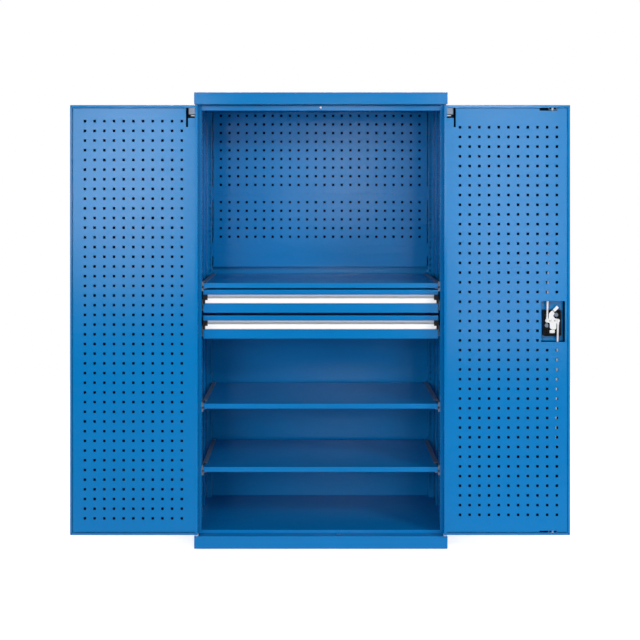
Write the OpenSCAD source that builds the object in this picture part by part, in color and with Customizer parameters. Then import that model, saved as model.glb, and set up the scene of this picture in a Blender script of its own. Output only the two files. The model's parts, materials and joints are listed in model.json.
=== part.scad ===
/* [Cabinet] */
// Width over the side panels
cab_w = 1000; // [900:10:1200]
// Depth from the front of the cap to the back panel
cab_d = 600; // [560:10:700]
// Height from the floor to the top of the cap
cab_h = 1800; // [1700:10:2000]
// Thickness of the painted sheet steel
sheet = 1.2; // [1:0.1:1.5]
// Height of the top cap
cap_h = 44; // [38:1:70]
// Height of the plinth under the doors
plinth_h = 50; // [40:1:90]
// Width of the inward lips of the cap and the plinth
frame_lip = 60; // [50:1:80]
// Width of the front posts of the side panels
post_w = 25; // [22:1:32]
// Depth of the front posts
post_d = 24; // [18:1:34]
// Width of the flange at the rear of each side panel
rear_flange = 20; // [14:1:24]
// Height of the header rail under the cap
header_h = 18; // [10:1:24]
// Gap between the header rail and the cap
header_gap = 4; // [1:0.5:6]
// Height of the floor panel over the plinth
floor_h = 12; // [10:1:24]

/* [Doors] */
// Thickness of a door
door_t = 40; // [38:1:46]
// Door skin behind the front plane of the cap
door_recess = 2; // [2:0.5:5]
// Gap between the doors and the cap
door_top_gap = 8; // [4:0.5:10]
// Gap between the plinth and the doors
door_bottom_gap = 11; // [7:0.5:14]
// Gap from the side of the cabinet to the edge of a closed door
door_side_gap = 2.5; // [2:0.5:6]
// Gap between closed doors and the front posts
door_back_gap = 3; // [2.6:0.2:6]
// Hinge axis in from the hinge edge of the door
hinge_inset = 7; // [6.6:0.2:8]
// Hinge axis behind the door skin
hinge_depth = 6; // [5.6:0.2:7]
// How far the left door passes the middle of the cabinet
left_door_past_middle = 2; // [1:0.5:8]
// Gap between the two closed doors
door_meeting_gap = 2.5; // [2:0.1:4]
// Width of the lips round the inner side of a door
door_lip = 7; // [5:0.5:10]
// Width of the lip at the hinge edge of a door
hinge_lip = 11; // [9:0.5:13]
// Width of the lip at the free edge of a door
free_lip = 3; // [2:0.5:5]
// Open groove between the perforated panel and the free edge of a door
free_groove = 8.5; // [6:0.5:10]
// Thickness of the overlap strip on the right door
strip_t = 1.8; // [1.4:0.1:2.4]
// Width of the part of the overlap strip that is welded to the door
strip_seat = 14; // [8:1:20]

/* [Perforation] */
// Distance from hole to hole
pitch = 38; // [30:1:45]
// Side of a square hole
hole = 10; // [8:0.5:12]
// First hole column of a door from the hinge axis
door_first_col = 55; // [50:0.5:62]
// First hole row of the left door from its lower edge
left_first_row = 66; // [50:1:80]
// First hole row of the right door from its lower edge
right_first_row = 80; // [60:1:90]
// Least distance from a hole to the edge of its panel
hole_margin = 24; // [20:1:30]
// Least distance from a hole row to the top of a door
top_margin = 55; // [50:1:60]
// Height of the lower edge of the perforated back panel
back_panel_z = 1075; // [1060:5:1200]
// First hole row of the back panel from its lower edge
back_first_row = 56; // [40:1:80]
// Room behind the perforated back panel
back_room = 36; // [30:1:45]
// Gap between the perforated back panel and the rear uprights
back_side_gap = 6; // [2:0.5:10]

/* [Lock] */
// Lock spindle from the free edge of the right door
lock_inset = 66; // [62:0.5:90]
// Lock spindle above the lower edge of the door
lock_z = 840; // [780:1:900]
// Throw of the cam pins that drive the rods
rod_throw = 21.5; // [19:0.5:24]
// Diameter of the locking rods
rod_d = 8; // [6:0.5:9]
// Diameter of the cam pins
cam_pin_d = 6; // [5:0.5:7]
// Diameter of the lock spindle
spindle_d = 16; // [12:1:18]
// Width of the lock opening in the right inner panel
lock_window_w = 93; // [86:1:96]
// Height of the lock opening in the right inner panel
lock_window_h = 160; // [140:1:190]
// Width of the handle base inside the door
handle_base_w = 70; // [60:1:76]
// Height of the handle base inside the door
handle_base_h = 102; // [90:1:120]
// Depth of the handle base inside the door
handle_base_depth = 21; // [14:0.5:21]
// Middle of the handle base under the spindle
handle_base_drop = 10; // [6:1:14]
// Key plug under the spindle
key_drop = 43; // [40:1:46]
// Length of the turning handle
handle_len = 66; // [56:1:68]
// Length of the slots that show the rod guides
guide_slot_w = 69; // [50:1:72]

/* [Hinge bolts] */
// Diameter of the hinge bolts and pivot pins
pivot_d = 6; // [5:0.5:6]
// How far a hinge bolt reaches into the cap
bolt_reach = 6; // [4:0.5:7]
// Height of the upper hinge block
block_h = 35; // [26:1:40]
// Width of the hinge blocks
block_w = 37; // [34:0.5:40]
// Height of the lower hinge block
lower_block_h = 36; // [30:1:42]
// Width of the hinge opening in an inner panel
hinge_window_w = 34.5; // [32:0.5:38]
// Diameter of the cross bar of a hinge bolt
cross_bar_d = 5; // [4:0.5:6]
// Length of the cross bar of a hinge bolt
cross_bar_len = 22; // [16:1:28]
// Gap between the upper hinge block and the cross bar at rest
cross_bar_gap = 2.3; // [0.5:0.1:3]

/* [Shelves] */
// Thickness of a shelf
shelf_t = 20; // [16:1:24]
// Gap between the upper drawer and the bracket over it
top_shelf_gap = 5; // [3:0.5:8]
// Gap from the front posts to the ends of a shelf
shelf_end_gap = 8; // [6:0.5:10]
// Upper face of the middle shelf
middle_shelf_z = 564; // [500:1:640]
// Upper face of the lower shelf
lower_shelf_z = 312; // [240:1:400]
// Thickness of the zinc-plated shelf brackets
bracket_t = 2; // [1.5:0.1:3]
// Depth of the uprights
upright_d = 30; // [24:1:40]
// Distance from slot to slot in the uprights
slot_pitch = 25; // [20:1:50]
// Height of a slot in the uprights
slot_h = 11; // [9:0.5:13]
// Width of a slot in the uprights
slot_w = 6; // [5:0.5:8]

/* [Drawers] */
// Height of a drawer front
front_h = 93; // [85:1:93]
// Height of the upper edge of the upper drawer front
drawers_top = 1017; // [1000:1:1022]
// Distance from drawer to drawer
drawer_pitch = 103; // [96:1:110]
// Side gap of the drawer fronts
front_gap = 6; // [5:0.5:10]
// Drawer front behind the front posts
front_recess = 14; // [13.5:0.5:18]
// Height of a drawer box
box_h = 74; // [60:1:78]
// Thickness of the drawer box sheet
box_sheet = 1; // [0.8:0.1:1.2]
// Length of the drawer slides
slide_len = 480; // [440:10:480]
// Height of the drawer slides
slide_h = 43; // [38:1:50]
// Width of the drawer slides
slide_w = 13.5; // [12.7:0.1:14]
// Height of the grip profile
grip_h = 35; // [30:1:38]
// Depth of the grip profile
grip_d = 12.5; // [11:0.5:13]
// Grip profile above the lower edge of the front
grip_z = 38.5; // [30:0.5:44]
// Height of the label strip
label_h = 19; // [16:0.5:20]
// Width of an end cap of a grip
end_cap_w = 8.5; // [6:0.5:12]

/* [Fits] */
// Running clearance round hinge bolts, pins and the spindle
run_gap = 0.06; // [0.03:0.01:0.1]
// Clearance between pieces that slide past each other
slide_gap = 0.3; // [0.3:0.05:0.6]
// Clearance of a hole that a bolt or rod only passes through
pass_gap = 0.5; // [0.4:0.1:1]

/* [Hidden] */

$fn = 48;
eps = 0.01;
paint = [0.16, 0.47, 0.76];
plated = [0.72, 0.74, 0.76];
zinc = [0.78, 0.79, 0.81];
black = [0.06, 0.06, 0.07];

// Depths are counted from the front plane of the cap, which lies at front_y
door_inner_depth = door_recess + door_t;
post_depth = door_inner_depth + door_back_gap;
hinge_x = cab_w / 2 - door_side_gap - hinge_inset;
hinge_p = door_recess + hinge_depth;
open_door_front = hinge_p + hinge_depth - door_t;
front_y = -(cab_d + open_door_front) / 2;
door_z = plinth_h + door_bottom_gap;
cap_z = cab_h - cap_h;
door_h = cap_z - door_top_gap - door_z;
left_free = hinge_x + left_door_past_middle;
right_free = hinge_x - left_door_past_middle - door_meeting_gap;
strip_free = left_free;
lock_x = right_free - lock_inset;
top_shelf_z = drawers_top + top_shelf_gap + bracket_t + shelf_t;
door_in_y = door_t - hinge_depth;
skin_in_y = sheet - hinge_depth;
panel_y = door_in_y - 2 * sheet;

floor_z = plinth_h + floor_h;
ceiling_z = cap_z - sheet;
post_back = post_depth + post_d;
inner_w = cab_w / 2 - sheet;
clear_x = cab_w / 2 - post_w;
back_in = cab_d - 2 * sheet;
rear_upright_p = back_in - back_room;
rib_p = (post_back + rear_upright_p) / 2 + 105;
rib_d = 30;
rib_t = 5;

perforated_w = clear_x - back_side_gap;
stiffener_w = clear_x - 0.3;
perforated_h = ceiling_z - back_panel_z;
back_margin = hole / 2 + 2;
back_cols = floor((2 * perforated_w - 2 * hole_margin) / pitch) + 1;
back_rows = floor((perforated_h - back_first_row - back_margin) / pitch) + 1;
stiffener_h = 60;
stiffener_rows = [0.5, 7];

slot_first_z = floor_z + 40;
slot_count = floor((ceiling_z - 40 - slot_first_z) / slot_pitch);
hook_d = slot_w - 2;
hook_h = slot_h - 3;
hook_reach = 3.5;

front_x = clear_x - front_gap;
drawer_front_p = post_depth + front_recess;
box_x = clear_x - slide_w;
slide_p = drawer_front_p + sheet + 14;
slide_t = 1.2;
upper_drawer_z = drawers_top - front_h;
lower_drawer_z = upper_drawer_z - drawer_pitch;
box_z = 6;
slide_z = box_z + 2;

slide_len_fit = min(slide_len, rear_upright_p - slide_p - 5);
middle_h = slide_h - 2 * slide_t - 2 * slide_gap;
runner_h = middle_h - 2 * slide_t - 2 * slide_gap;
rail_edge = -box_x - 2;
middle_web = slide_t + 0.8 - clear_x;
middle_edge = -box_x - 1.8;
runner_edge = middle_web + slide_t + 1;

grip_wall = 1.6;
grip_x = front_x - end_cap_w;
hood_x = grip_x - 10;
hood_h = 6.5;
label_t = 1.2;
label_front = grip_d * 0.6;

spring_wire = 1.1;
spring_bore = pivot_d + 3.6;
block_x = block_w - hinge_inset + sheet;
block_y = panel_y - 4;
cross_bar_z = door_h - sheet - block_h - cross_bar_gap - cross_bar_d / 2;
cross_bar_y = block_y - 4;
bolt_travel = bolt_reach + 0.5;
lower_block_top = cross_bar_z - cross_bar_d / 2 - bolt_travel - slide_gap;
lower_block_floor = 4;
collar_h = 2.5;
collar_top = lower_block_top - 2;
bolt_tail = lower_block_top - lower_block_h + 0.5;
hinge_window_x = hinge_lip - hinge_inset;
hinge_window_z = lower_block_top - lower_block_h;

base_flange_w = handle_base_w + 10;
base_flange_h = handle_base_h + 26;
base_flange_t = 6;
base_half_w = handle_base_w / 2 + pass_gap;
base_half_h = handle_base_h / 2 + pass_gap;
key_d = 14;
spindle_r = spindle_d / 2;
cam_t = 4;
cam_y = handle_base_depth - hinge_depth + 2.6;
rod_end_t = 3;
rod_y = cam_y + cam_t + slide_gap + rod_end_t / 2;
rod_eye_r = cam_pin_d / 2 + 4;
rod_neck = 16;
upper_rod_len = door_h - lock_z - 1;
lower_rod_len = lock_z - 1;
upper_rod_tilt = asin(rod_throw / upper_rod_len);
lower_rod_tilt = asin(rod_throw / lower_rod_len);
rod_wander = rod_throw * 0.22;
rod_slot_l = rod_d + 2 * rod_wander + 2 * pass_gap;
rod_slot_w = rod_d + 2 * pass_gap;
rod_x_closed = hinge_x - lock_x;
rod_p_closed = hinge_p + rod_y;
cam_arm_reach = 60;
cam_arm_root = [2.5, -36];
cam_arm_angle = -46;
cam_arm_len = 26.5;
cam_plate = [
    [-rod_throw, -7], [7 - rod_throw, -8], [7.5 - rod_throw, -27], [-4, -39], [9, -29], [3, -19], [10, -9],
    [rod_throw, -7], [rod_throw, 7], [rod_throw - 6, 12], [rod_throw - 6, 30], [11, 35], [-1, 35], [-10, 30],
    [-11, 9], [-rod_throw, 7]
];
arm_slot_h = 2 * cam_arm_reach + 6;
guide_w = rod_slot_l + 14;
guide_h = 18;
handle_w = 22;
handle_t = 20;
handle_hub_d = 36;
handle_gap = 0.4;
window_x = lock_x;
window_z = lock_z - 2;

// A plain block between two opposite corners
module block(low, high) {
    translate(low) cube(high - low);
}

// A flat shape raised as a plate that faces along X, from x to x + t
module plate_facing_x(x, t) {
    translate([x, 0, 0]) rotate([90, 0, 90]) linear_extrude(t) children();
}

// A flat shape raised as a plate that faces along Y, from y to y + t
module plate_facing_y(y, t) {
    translate([0, y + t, 0]) rotate([90, 0, 0]) linear_extrude(t) children();
}

// Places a piece that is drawn with its depth counted from the front plane
module in_cabinet() {
    translate([0, front_y, 0]) children();
}

// The same piece on the left and mirrored on the right
module both_sides() {
    children();
    mirror([1, 0, 0]) children();
}

// The left door, opened by half a turn about its hinge axis
module on_left_door() {
    in_cabinet() translate([-hinge_x, hinge_p, door_z]) rotate([0, 0, 180]) children();
}

// The right door, opened by half a turn about its hinge axis
module on_right_door() {
    in_cabinet() translate([hinge_x, hinge_p, door_z]) rotate([0, 0, 180]) mirror([1, 0, 0]) children();
}

module bore(d, h) {
    translate([0, 0, -eps]) cylinder(d = d, h = h + 2 * eps);
}

// A slot with round ends, long in X
module round_slot(length, width, h) {
    half = (length - width) / 2;
    translate([-half, -width / 2, 0]) cube([2 * half, width, h]);
    translate([-half, 0, 0]) cylinder(d = width, h = h);
    translate([half, 0, 0]) cylinder(d = width, h = h);
}

// Whether a hole would meet the window that leaves the lock open
function meets_window(x, z) =
    abs(x - window_x) < (lock_window_w + hole) / 2 + 3 && abs(z - window_z) < (lock_window_h + hole) / 2 + 3;

// Square holes in columns and rows, without those that meet the lock window if there is one
module hole_grid(x0, cols, z0, rows, with_window) {
    for (i = [0 : cols - 1]) {
        for (k = [0 : rows - 1]) {
            if (!with_window || !meets_window(x0 + i * pitch, z0 + k * pitch)) {
                translate([x0 + i * pitch, z0 + k * pitch]) square(hole, center = true);
            }
        }
    }
}

// Carcass

module side_panel() {
    color(paint) in_cabinet() translate([0, 0, plinth_h]) linear_extrude(cap_z - plinth_h) union() {
        translate([-cab_w / 2, post_depth]) square([sheet, cab_d - post_depth]);
        translate([-cab_w / 2, post_depth]) square([post_w, sheet]);
        translate([-clear_x - sheet, post_depth]) square([sheet, post_d]);
        translate([-clear_x - 12, post_back - sheet]) square([12, sheet]);
        translate([-cab_w / 2, cab_d - sheet]) square([rear_flange, sheet]);
    }
}

module left_side_panel() {
    side_panel();
}

module right_side_panel() {
    color(paint) mirror([1, 0, 0]) side_panel();
}

module back_panel() {
    color(paint) in_cabinet() block([-inner_w, back_in, plinth_h], [inner_w, cab_d - sheet, cap_z]);
}

module rod_strike_hole(z) {
    translate([rod_x_closed, rod_p_closed, z - eps]) round_slot(rod_slot_l, rod_slot_w, sheet + 2 * eps);
}

module top_cap() {
    color(paint) in_cabinet() difference() {
        block([-cab_w / 2, 0, cap_z], [cab_w / 2, cab_d, cab_h]);
        block([sheet - cab_w / 2, sheet, cap_z + sheet], [cab_w / 2 - sheet, cab_d - sheet, cab_h - sheet]);
        block(
            [frame_lip - cab_w / 2, frame_lip, cap_z - eps],
            [cab_w / 2 - frame_lip, cab_d - frame_lip, cap_z + sheet + eps]
        );
        for (side = [-1, 1]) {
            translate([side * hinge_x, hinge_p, cap_z]) bore(pivot_d + 2 * run_gap, sheet);
        }
        rod_strike_hole(cap_z);
    }
}

module ceiling_panel() {
    color(paint) in_cabinet() difference() {
        block([-inner_w, post_back, ceiling_z], [inner_w, back_in, cap_z]);
        both_sides() block([-inner_w - eps, post_back - eps, ceiling_z - eps],
            [-clear_x, post_back + upright_d, cap_z + eps]);
        both_sides() block([-inner_w - eps, rear_upright_p, ceiling_z - eps],
            [-clear_x, rear_upright_p + upright_d, cap_z + eps]);
    }
}

module header_rail() {
    low = cap_z - header_gap - header_h;
    color(paint) in_cabinet() union() {
        block([-clear_x, post_depth, low], [clear_x, post_depth + sheet, low + header_h]);
        block([-clear_x, post_depth, low], [clear_x, post_back, low + sheet]);
        block([-clear_x, post_back - sheet, low], [clear_x, post_back, cap_z]);
    }
}

module header_buffer() {
    z_mid = cap_z - header_gap - header_h / 2;
    color("white") in_cabinet() translate([0, post_depth, z_mid]) rotate([90, 0, 0])
        cylinder(d = 8, h = door_back_gap - slide_gap);
}

module plinth() {
    color(paint) in_cabinet() difference() {
        block([-cab_w / 2, 0, 0], [cab_w / 2, cab_d, plinth_h]);
        block([sheet - cab_w / 2, sheet, sheet], [cab_w / 2 - sheet, cab_d - sheet, plinth_h - sheet]);
        block(
            [frame_lip - cab_w / 2, frame_lip, -eps],
            [cab_w / 2 - frame_lip, cab_d - frame_lip, plinth_h + eps]
        );
        rod_strike_hole(plinth_h - sheet);
    }
}

module floor_panel() {
    color(paint) in_cabinet() difference() {
        block([-inner_w, post_depth, plinth_h], [inner_w, back_in, floor_z]);
        block([sheet - inner_w, post_depth + sheet, plinth_h - eps],
            [inner_w - sheet, back_in - sheet, floor_z - sheet]);
        both_sides() block([-inner_w - eps, post_depth - eps, plinth_h - eps],
            [-clear_x, post_back, floor_z + eps]);
    }
}

module side_ribs() {
    color(paint) in_cabinet() both_sides() translate([0, 0, floor_z]) linear_extrude(ceiling_z - floor_z)
        difference() {
            translate([-inner_w, rib_p]) square([rib_t, rib_d]);
            translate([-inner_w - eps, rib_p + sheet]) square([rib_t - sheet + eps, rib_d - 2 * sheet]);
        }
}

// One column of slots up an upright, on the plane that the caller raises
module slot_column(x) {
    for (k = [0 : slot_count]) {
        translate([x - slot_w / 2, slot_first_z + k * slot_pitch]) square([slot_w, slot_h]);
    }
}

module upright_wall(width) {
    translate([0, floor_z]) square([width, cap_z - floor_z]);
}

module upright(p, front_slots) {
    inner = clear_x + sheet;
    plate_facing_x(-inner, sheet) difference() {
        translate([p, 0]) upright_wall(upright_d);
        slot_column(p + upright_d / 2);
    }
    plate_facing_y(p, sheet) difference() {
        translate([-inner_w, 0]) upright_wall(inner_w - inner);
        if (front_slots) slot_column(-clear_x - slot_w / 2 - 6);
    }
    plate_facing_y(p + upright_d - sheet, sheet) translate([-inner_w, 0]) upright_wall(inner_w - inner);
}

module front_uprights() {
    color(paint) in_cabinet() both_sides() upright(post_back, false);
}

module rear_uprights() {
    color(paint) in_cabinet() both_sides() upright(rear_upright_p, true);
}

module perforated_back_panel() {
    grid_x = -(back_cols - 1) * pitch / 2;
    color(paint) in_cabinet() union() {
        plate_facing_y(rear_upright_p, sheet) difference() {
            translate([-perforated_w, back_panel_z]) square([2 * perforated_w, perforated_h]);
            hole_grid(grid_x, back_cols, back_panel_z + back_first_row, back_rows, false);
        }
        block([-perforated_w, rear_upright_p, back_panel_z], [perforated_w, back_in, back_panel_z + sheet]);
    }
}

module back_stiffeners() {
    face = rear_upright_p + sheet;
    color(paint) in_cabinet() for (row = stiffener_rows) {
        z = back_panel_z + back_first_row + row * pitch;
        difference() {
            block([-stiffener_w, face, z - stiffener_h / 2], [stiffener_w, back_in, z + stiffener_h / 2]);
            block([-stiffener_w - eps, face + sheet, z - stiffener_h / 2 + sheet],
                [stiffener_w + eps, back_in + eps, z + stiffener_h / 2 - sheet]);
        }
    }
}

// A shelf is a pan turned upside down, hung between its brackets
shelf_x = clear_x - shelf_end_gap;
shelf_back = rear_upright_p + 12;

module shelf(z) {
    front = post_depth + 1;
    in_cabinet() difference() {
        block([-shelf_x, front, z - shelf_t], [shelf_x, shelf_back, z]);
        block([sheet - shelf_x, front + sheet, z - shelf_t + sheet],
            [shelf_x - sheet, shelf_back - sheet, z - sheet]);
        block([12 - shelf_x, front + 14, z - shelf_t - eps],
            [shelf_x - 12, shelf_back - 12, z - shelf_t + sheet + eps]);
    }
}

module drawer_top_shelf() {
    color(paint) shelf(top_shelf_z);
}

module middle_shelf() {
    color(paint) shelf(middle_shelf_z);
}

module lower_shelf() {
    color(paint) shelf(lower_shelf_z);
}

// The slot in an upright that lies nearest to a height
function slot_near(z) = slot_first_z + round((z - slot_first_z) / slot_pitch) * slot_pitch;

// A C-shaped rail that carries one end of a shelf and hooks into two uprights
module shelf_bracket(z) {
    bottom = z - shelf_t - bracket_t;
    top = z + slide_gap + bracket_t;
    front = post_depth + 3;
    back = rear_upright_p + upright_d - 4;
    block([-clear_x, front, bottom], [-clear_x + bracket_t, back, top]);
    block([-clear_x, front, bottom], [-clear_x + 20, back, bottom + bracket_t]);
    block([-clear_x, front + 70, top - bracket_t], [-clear_x + 17, shelf_back, top]);
    difference() {
        block([-clear_x, front, bottom - 11], [-shelf_x - 0.5, front + bracket_t, z + 6]);
        block([-clear_x + bracket_t, front - eps, bottom + bracket_t],
            [-shelf_x, front + bracket_t + eps, z - 13]);
    }
    block([-clear_x, front, bottom - 11], [-clear_x + bracket_t, front + 45, bottom]);
    for (p = [post_back + upright_d / 2, rear_upright_p + upright_d / 2]) {
        hook_z = slot_near(z - shelf_t) + 1;
        translate([-clear_x - hook_reach, p - hook_d / 2, hook_z])
            cube([hook_reach + bracket_t / 2, hook_d, hook_h]);
        block([-clear_x, p - hook_d, min(bottom, hook_z)],
            [-clear_x + bracket_t, p + hook_d, max(top, hook_z + hook_h)]);
    }
}

module shelf_brackets(z) {
    color(plated) in_cabinet() both_sides() shelf_bracket(z);
}

module top_shelf_brackets() {
    shelf_brackets(top_shelf_z);
}

module middle_shelf_brackets() {
    shelf_brackets(middle_shelf_z);
}

module lower_shelf_brackets() {
    shelf_brackets(lower_shelf_z);
}

module bottom_pivots() {
    collar_d = 2 * min(hinge_p, hinge_inset + door_side_gap) - 2;
    color(zinc) in_cabinet() for (side = [-1, 1]) {
        translate([side * hinge_x, hinge_p, plinth_h]) union() {
            cylinder(d = collar_d, h = door_bottom_gap - slide_gap);
            cylinder(d = pivot_d, h = door_bottom_gap + 13);
        }
    }
}

// Drawer slides: a rail on the uprights, a middle member and a runner on the drawer box

// One slide member on the left: a channel between x0 and x1 that is open inwards or outwards
module slide_channel(x0, x1, height, z_mid, open_inwards) {
    web_x = open_inwards ? x0 : x1 - slide_t;
    block([x0, slide_p, z_mid - height / 2], [x1, slide_p + slide_len_fit, z_mid - height / 2 + slide_t]);
    block([x0, slide_p, z_mid + height / 2 - slide_t], [x1, slide_p + slide_len_fit, z_mid + height / 2]);
    block([web_x, slide_p, z_mid - height / 2],
        [web_x + slide_t, slide_p + slide_len_fit, z_mid + height / 2]);
}

module slide_rails(z) {
    color(plated) in_cabinet() both_sides()
        slide_channel(-clear_x, rail_edge, slide_h, z + slide_z + slide_h / 2, true);
}

module slide_middles(z) {
    color(plated) in_cabinet() both_sides()
        slide_channel(middle_web, middle_edge, middle_h, z + slide_z + slide_h / 2, true);
}

module slide_runners(z) {
    color(plated) in_cabinet() both_sides()
        slide_channel(runner_edge, -box_x, runner_h, z + slide_z + slide_h / 2, false);
}

module upper_slide_rails() {
    slide_rails(upper_drawer_z);
}

module upper_slide_middles() {
    slide_middles(upper_drawer_z);
}

module upper_slide_runners() {
    slide_runners(upper_drawer_z);
}

module lower_slide_rails() {
    slide_rails(lower_drawer_z);
}

module lower_slide_middles() {
    slide_middles(lower_drawer_z);
}

module lower_slide_runners() {
    slide_runners(lower_drawer_z);
}

module drawer_box(z) {
    front = drawer_front_p + sheet;
    back = slide_p + slide_len_fit;
    color(paint) in_cabinet() difference() {
        block([-box_x, front, z + box_z], [box_x, back, z + box_z + box_h]);
        block([box_sheet - box_x, front + box_sheet, z + box_z + box_sheet],
            [box_x - box_sheet, back - box_sheet, z + box_z + box_h + eps]);
    }
}

module drawer_front(z) {
    color(paint) in_cabinet() union() {
        block([-front_x, drawer_front_p, z], [front_x, drawer_front_p + sheet, z + front_h]);
        block([-front_x, drawer_front_p, z], [front_x, drawer_front_p + 12, z + sheet]);
        block([-front_x, drawer_front_p, z + front_h - sheet], [front_x, drawer_front_p + 12, z + front_h]);
    }
}

// Grip section with its depth counted forwards from the drawer front and its height from its lower edge
module grip_section() {
    square([grip_wall, grip_h]);
    translate([0, 0]) square([label_front + label_t + 1, grip_wall]);
    translate([label_front - grip_wall, 0]) square([grip_wall, label_h + 2 * grip_wall]);
    translate([label_front - grip_wall, label_h + grip_wall + slide_gap])
        square([grip_wall + label_t + 1, grip_wall]);
    translate([0, label_h + grip_wall + slide_gap]) square([label_front, grip_wall]);
    translate([label_front + label_t + 0.2, 0]) square([0.8, grip_wall + 0.8]);
    translate([label_front + label_t + 0.2, label_h + grip_wall - 0.5]) square([0.8, grip_wall + 0.8]);
}

module hood_section() {
    translate([0, grip_h - grip_wall]) square([grip_d, grip_wall]);
    translate([grip_d - grip_wall, grip_h - hood_h]) square([grip_wall, hood_h]);
}

// Raises a section along X between x0 and x1, facing forwards from the drawer front
module along_front(z, x0, x1) {
    in_cabinet() translate([x0, drawer_front_p, z + grip_z]) rotate([90, 0, 90]) mirror([1, 0, 0])
        linear_extrude(x1 - x0) children();
}

module drawer_grip(z) {
    color("gainsboro") union() {
        along_front(z, -grip_x, grip_x) grip_section();
        along_front(z, -hood_x, hood_x) hood_section();
    }
}

module drawer_label(z) {
    color("white") along_front(z, -grip_x, grip_x)
        translate([label_front, grip_wall + slide_gap / 2]) square([label_t, label_h]);
}

module drawer_end_caps(z) {
    shelf_top = label_h + 2 * grip_wall + slide_gap;
    hook_front = label_front + label_t + 1.2;
    color(black) both_sides() union() {
        along_front(z, -front_x, -grip_x) square([grip_d - 0.6, grip_h]);
        along_front(z, -grip_x, -hood_x - slide_gap) union() {
            translate([grip_wall, shelf_top]) square([grip_d - 0.6 - grip_wall, grip_h - shelf_top]);
            translate([hook_front, shelf_top - 8.5])
                square([grip_d - 0.6 - hook_front, grip_h - shelf_top + 8.5]);
        }
    }
}

module upper_drawer_box() {
    drawer_box(upper_drawer_z);
}

module upper_drawer_front() {
    drawer_front(upper_drawer_z);
}

module upper_drawer_grip() {
    drawer_grip(upper_drawer_z);
}

module upper_drawer_label() {
    drawer_label(upper_drawer_z);
}

module upper_drawer_end_caps() {
    drawer_end_caps(upper_drawer_z);
}

module lower_drawer_box() {
    drawer_box(lower_drawer_z);
}

module lower_drawer_front() {
    drawer_front(lower_drawer_z);
}

module lower_drawer_grip() {
    drawer_grip(lower_drawer_z);
}

module lower_drawer_label() {
    drawer_label(lower_drawer_z);
}

module lower_drawer_end_caps() {
    drawer_end_caps(lower_drawer_z);
}

// Doors are drawn closed, with the hinge axis at the origin, the skin at the front
// and the free edge along +X, and heights counted from the lower edge of the door

// An outer pan with lips on its inner side
module door_shell(free_x) {
    difference() {
        block([-hinge_inset, -hinge_depth, 0], [free_x, door_in_y, door_h]);
        block([sheet - hinge_inset, skin_in_y, sheet], [free_x - sheet, door_in_y - sheet, door_h - sheet]);
        block([hinge_lip - hinge_inset, door_in_y - sheet - eps, door_lip],
            [free_x - free_lip, door_in_y + eps, door_h - door_lip]);
        for (z = [0, door_h - sheet]) {
            translate([0, 0, z]) bore(pivot_d + 2 * pass_gap, sheet);
        }
    }
}

// An inner panel that lies under the lips of the shell
module door_panel(free_x, first_row, with_window) {
    low = sheet + 0.1;
    edge = free_x - sheet - 0.1 - free_groove;
    cols = floor((edge - door_first_col - hole_margin) / pitch) + 1;
    rows = floor((door_h - first_row - top_margin) / pitch) + 1;
    plate_facing_y(panel_y, sheet) difference() {
        translate([low - hinge_inset, low]) square([edge - low + hinge_inset, door_h - 2 * low]);
        hole_grid(door_first_col, cols, first_row, rows, with_window);
        translate([hinge_window_x, hinge_window_z])
            square([hinge_window_w, door_h - door_lip - hinge_window_z]);
        if (with_window) lock_window();
    }
    difference() {
        block([edge - sheet, skin_in_y, low], [edge, panel_y + sheet, door_h - low]);
        if (with_window) {
            block([edge - sheet - eps, cam_y - 2, lock_z - arm_slot_h / 2],
                [edge + eps, cam_y + cam_t + 2, lock_z + arm_slot_h / 2]);
        }
    }
}

module left_door_shell() {
    color(paint) on_left_door() door_shell(left_free);
}

module left_door_panel() {
    color(paint) on_left_door() door_panel(left_free, left_first_row, false);
}

// The block with the bore that the hinge bolt turns in
module hinge_block() {
    top = door_h - sheet;
    color(zinc) difference() {
        block([sheet - hinge_inset, skin_in_y, top - block_h], [block_x, block_y, top]);
        translate([0, 0, top - block_h]) bore(pivot_d + 2 * run_gap, block_h);
    }
}

// The block that guides the tail of the hinge bolt and holds its spring
module bolt_guide() {
    low = lower_block_top - lower_block_h;
    color(paint) difference() {
        block([sheet - hinge_inset, skin_in_y, low], [block_x, block_y, lower_block_top]);
        translate([0, 0, low]) bore(pivot_d + 2 * run_gap, lower_block_h);
        translate([0, 0, low + lower_block_floor])
            cylinder(d = spring_bore, h = lower_block_h - lower_block_floor + eps);
    }
}

module hinge_bolt() {
    color(zinc) union() {
        translate([0, 0, bolt_tail])
            cylinder(d = pivot_d, h = door_h + door_top_gap + bolt_reach - bolt_tail);
        translate([0, 0, collar_top - collar_h]) cylinder(d = spring_bore - 0.6, h = collar_h);
        translate([0, 0, cross_bar_z]) rotate([-90, 0, 0]) cylinder(d = cross_bar_d, h = cross_bar_y);
        translate([0, cross_bar_y, cross_bar_z]) sphere(d = cross_bar_d);
        translate([0, cross_bar_y, cross_bar_z]) rotate([0, 90, 0])
            cylinder(d = cross_bar_d, h = cross_bar_len);
    }
}

// The spring stands in the lower block under the collar, as a plain sleeve of its outer shape
module hinge_spring() {
    low = lower_block_top - lower_block_h + lower_block_floor + slide_gap;
    height = collar_top - collar_h - slide_gap - low;
    color(plated) translate([0, 0, low]) difference() {
        cylinder(d = spring_bore - 2 * slide_gap, h = height);
        bore(spring_bore - 2 * slide_gap - 2 * spring_wire, height);
    }
}

module bottom_bush() {
    color("ivory") translate([0, 0, sheet]) difference() {
        cylinder(d = 2 * (min(hinge_inset, hinge_depth) - sheet) - 0.2, h = 12);
        bore(pivot_d + 2 * run_gap, 12);
    }
}

module left_hinge_block() {
    on_left_door() hinge_block();
}

module left_bolt_guide() {
    on_left_door() bolt_guide();
}

module left_hinge_bolt() {
    on_left_door() hinge_bolt();
}

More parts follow.
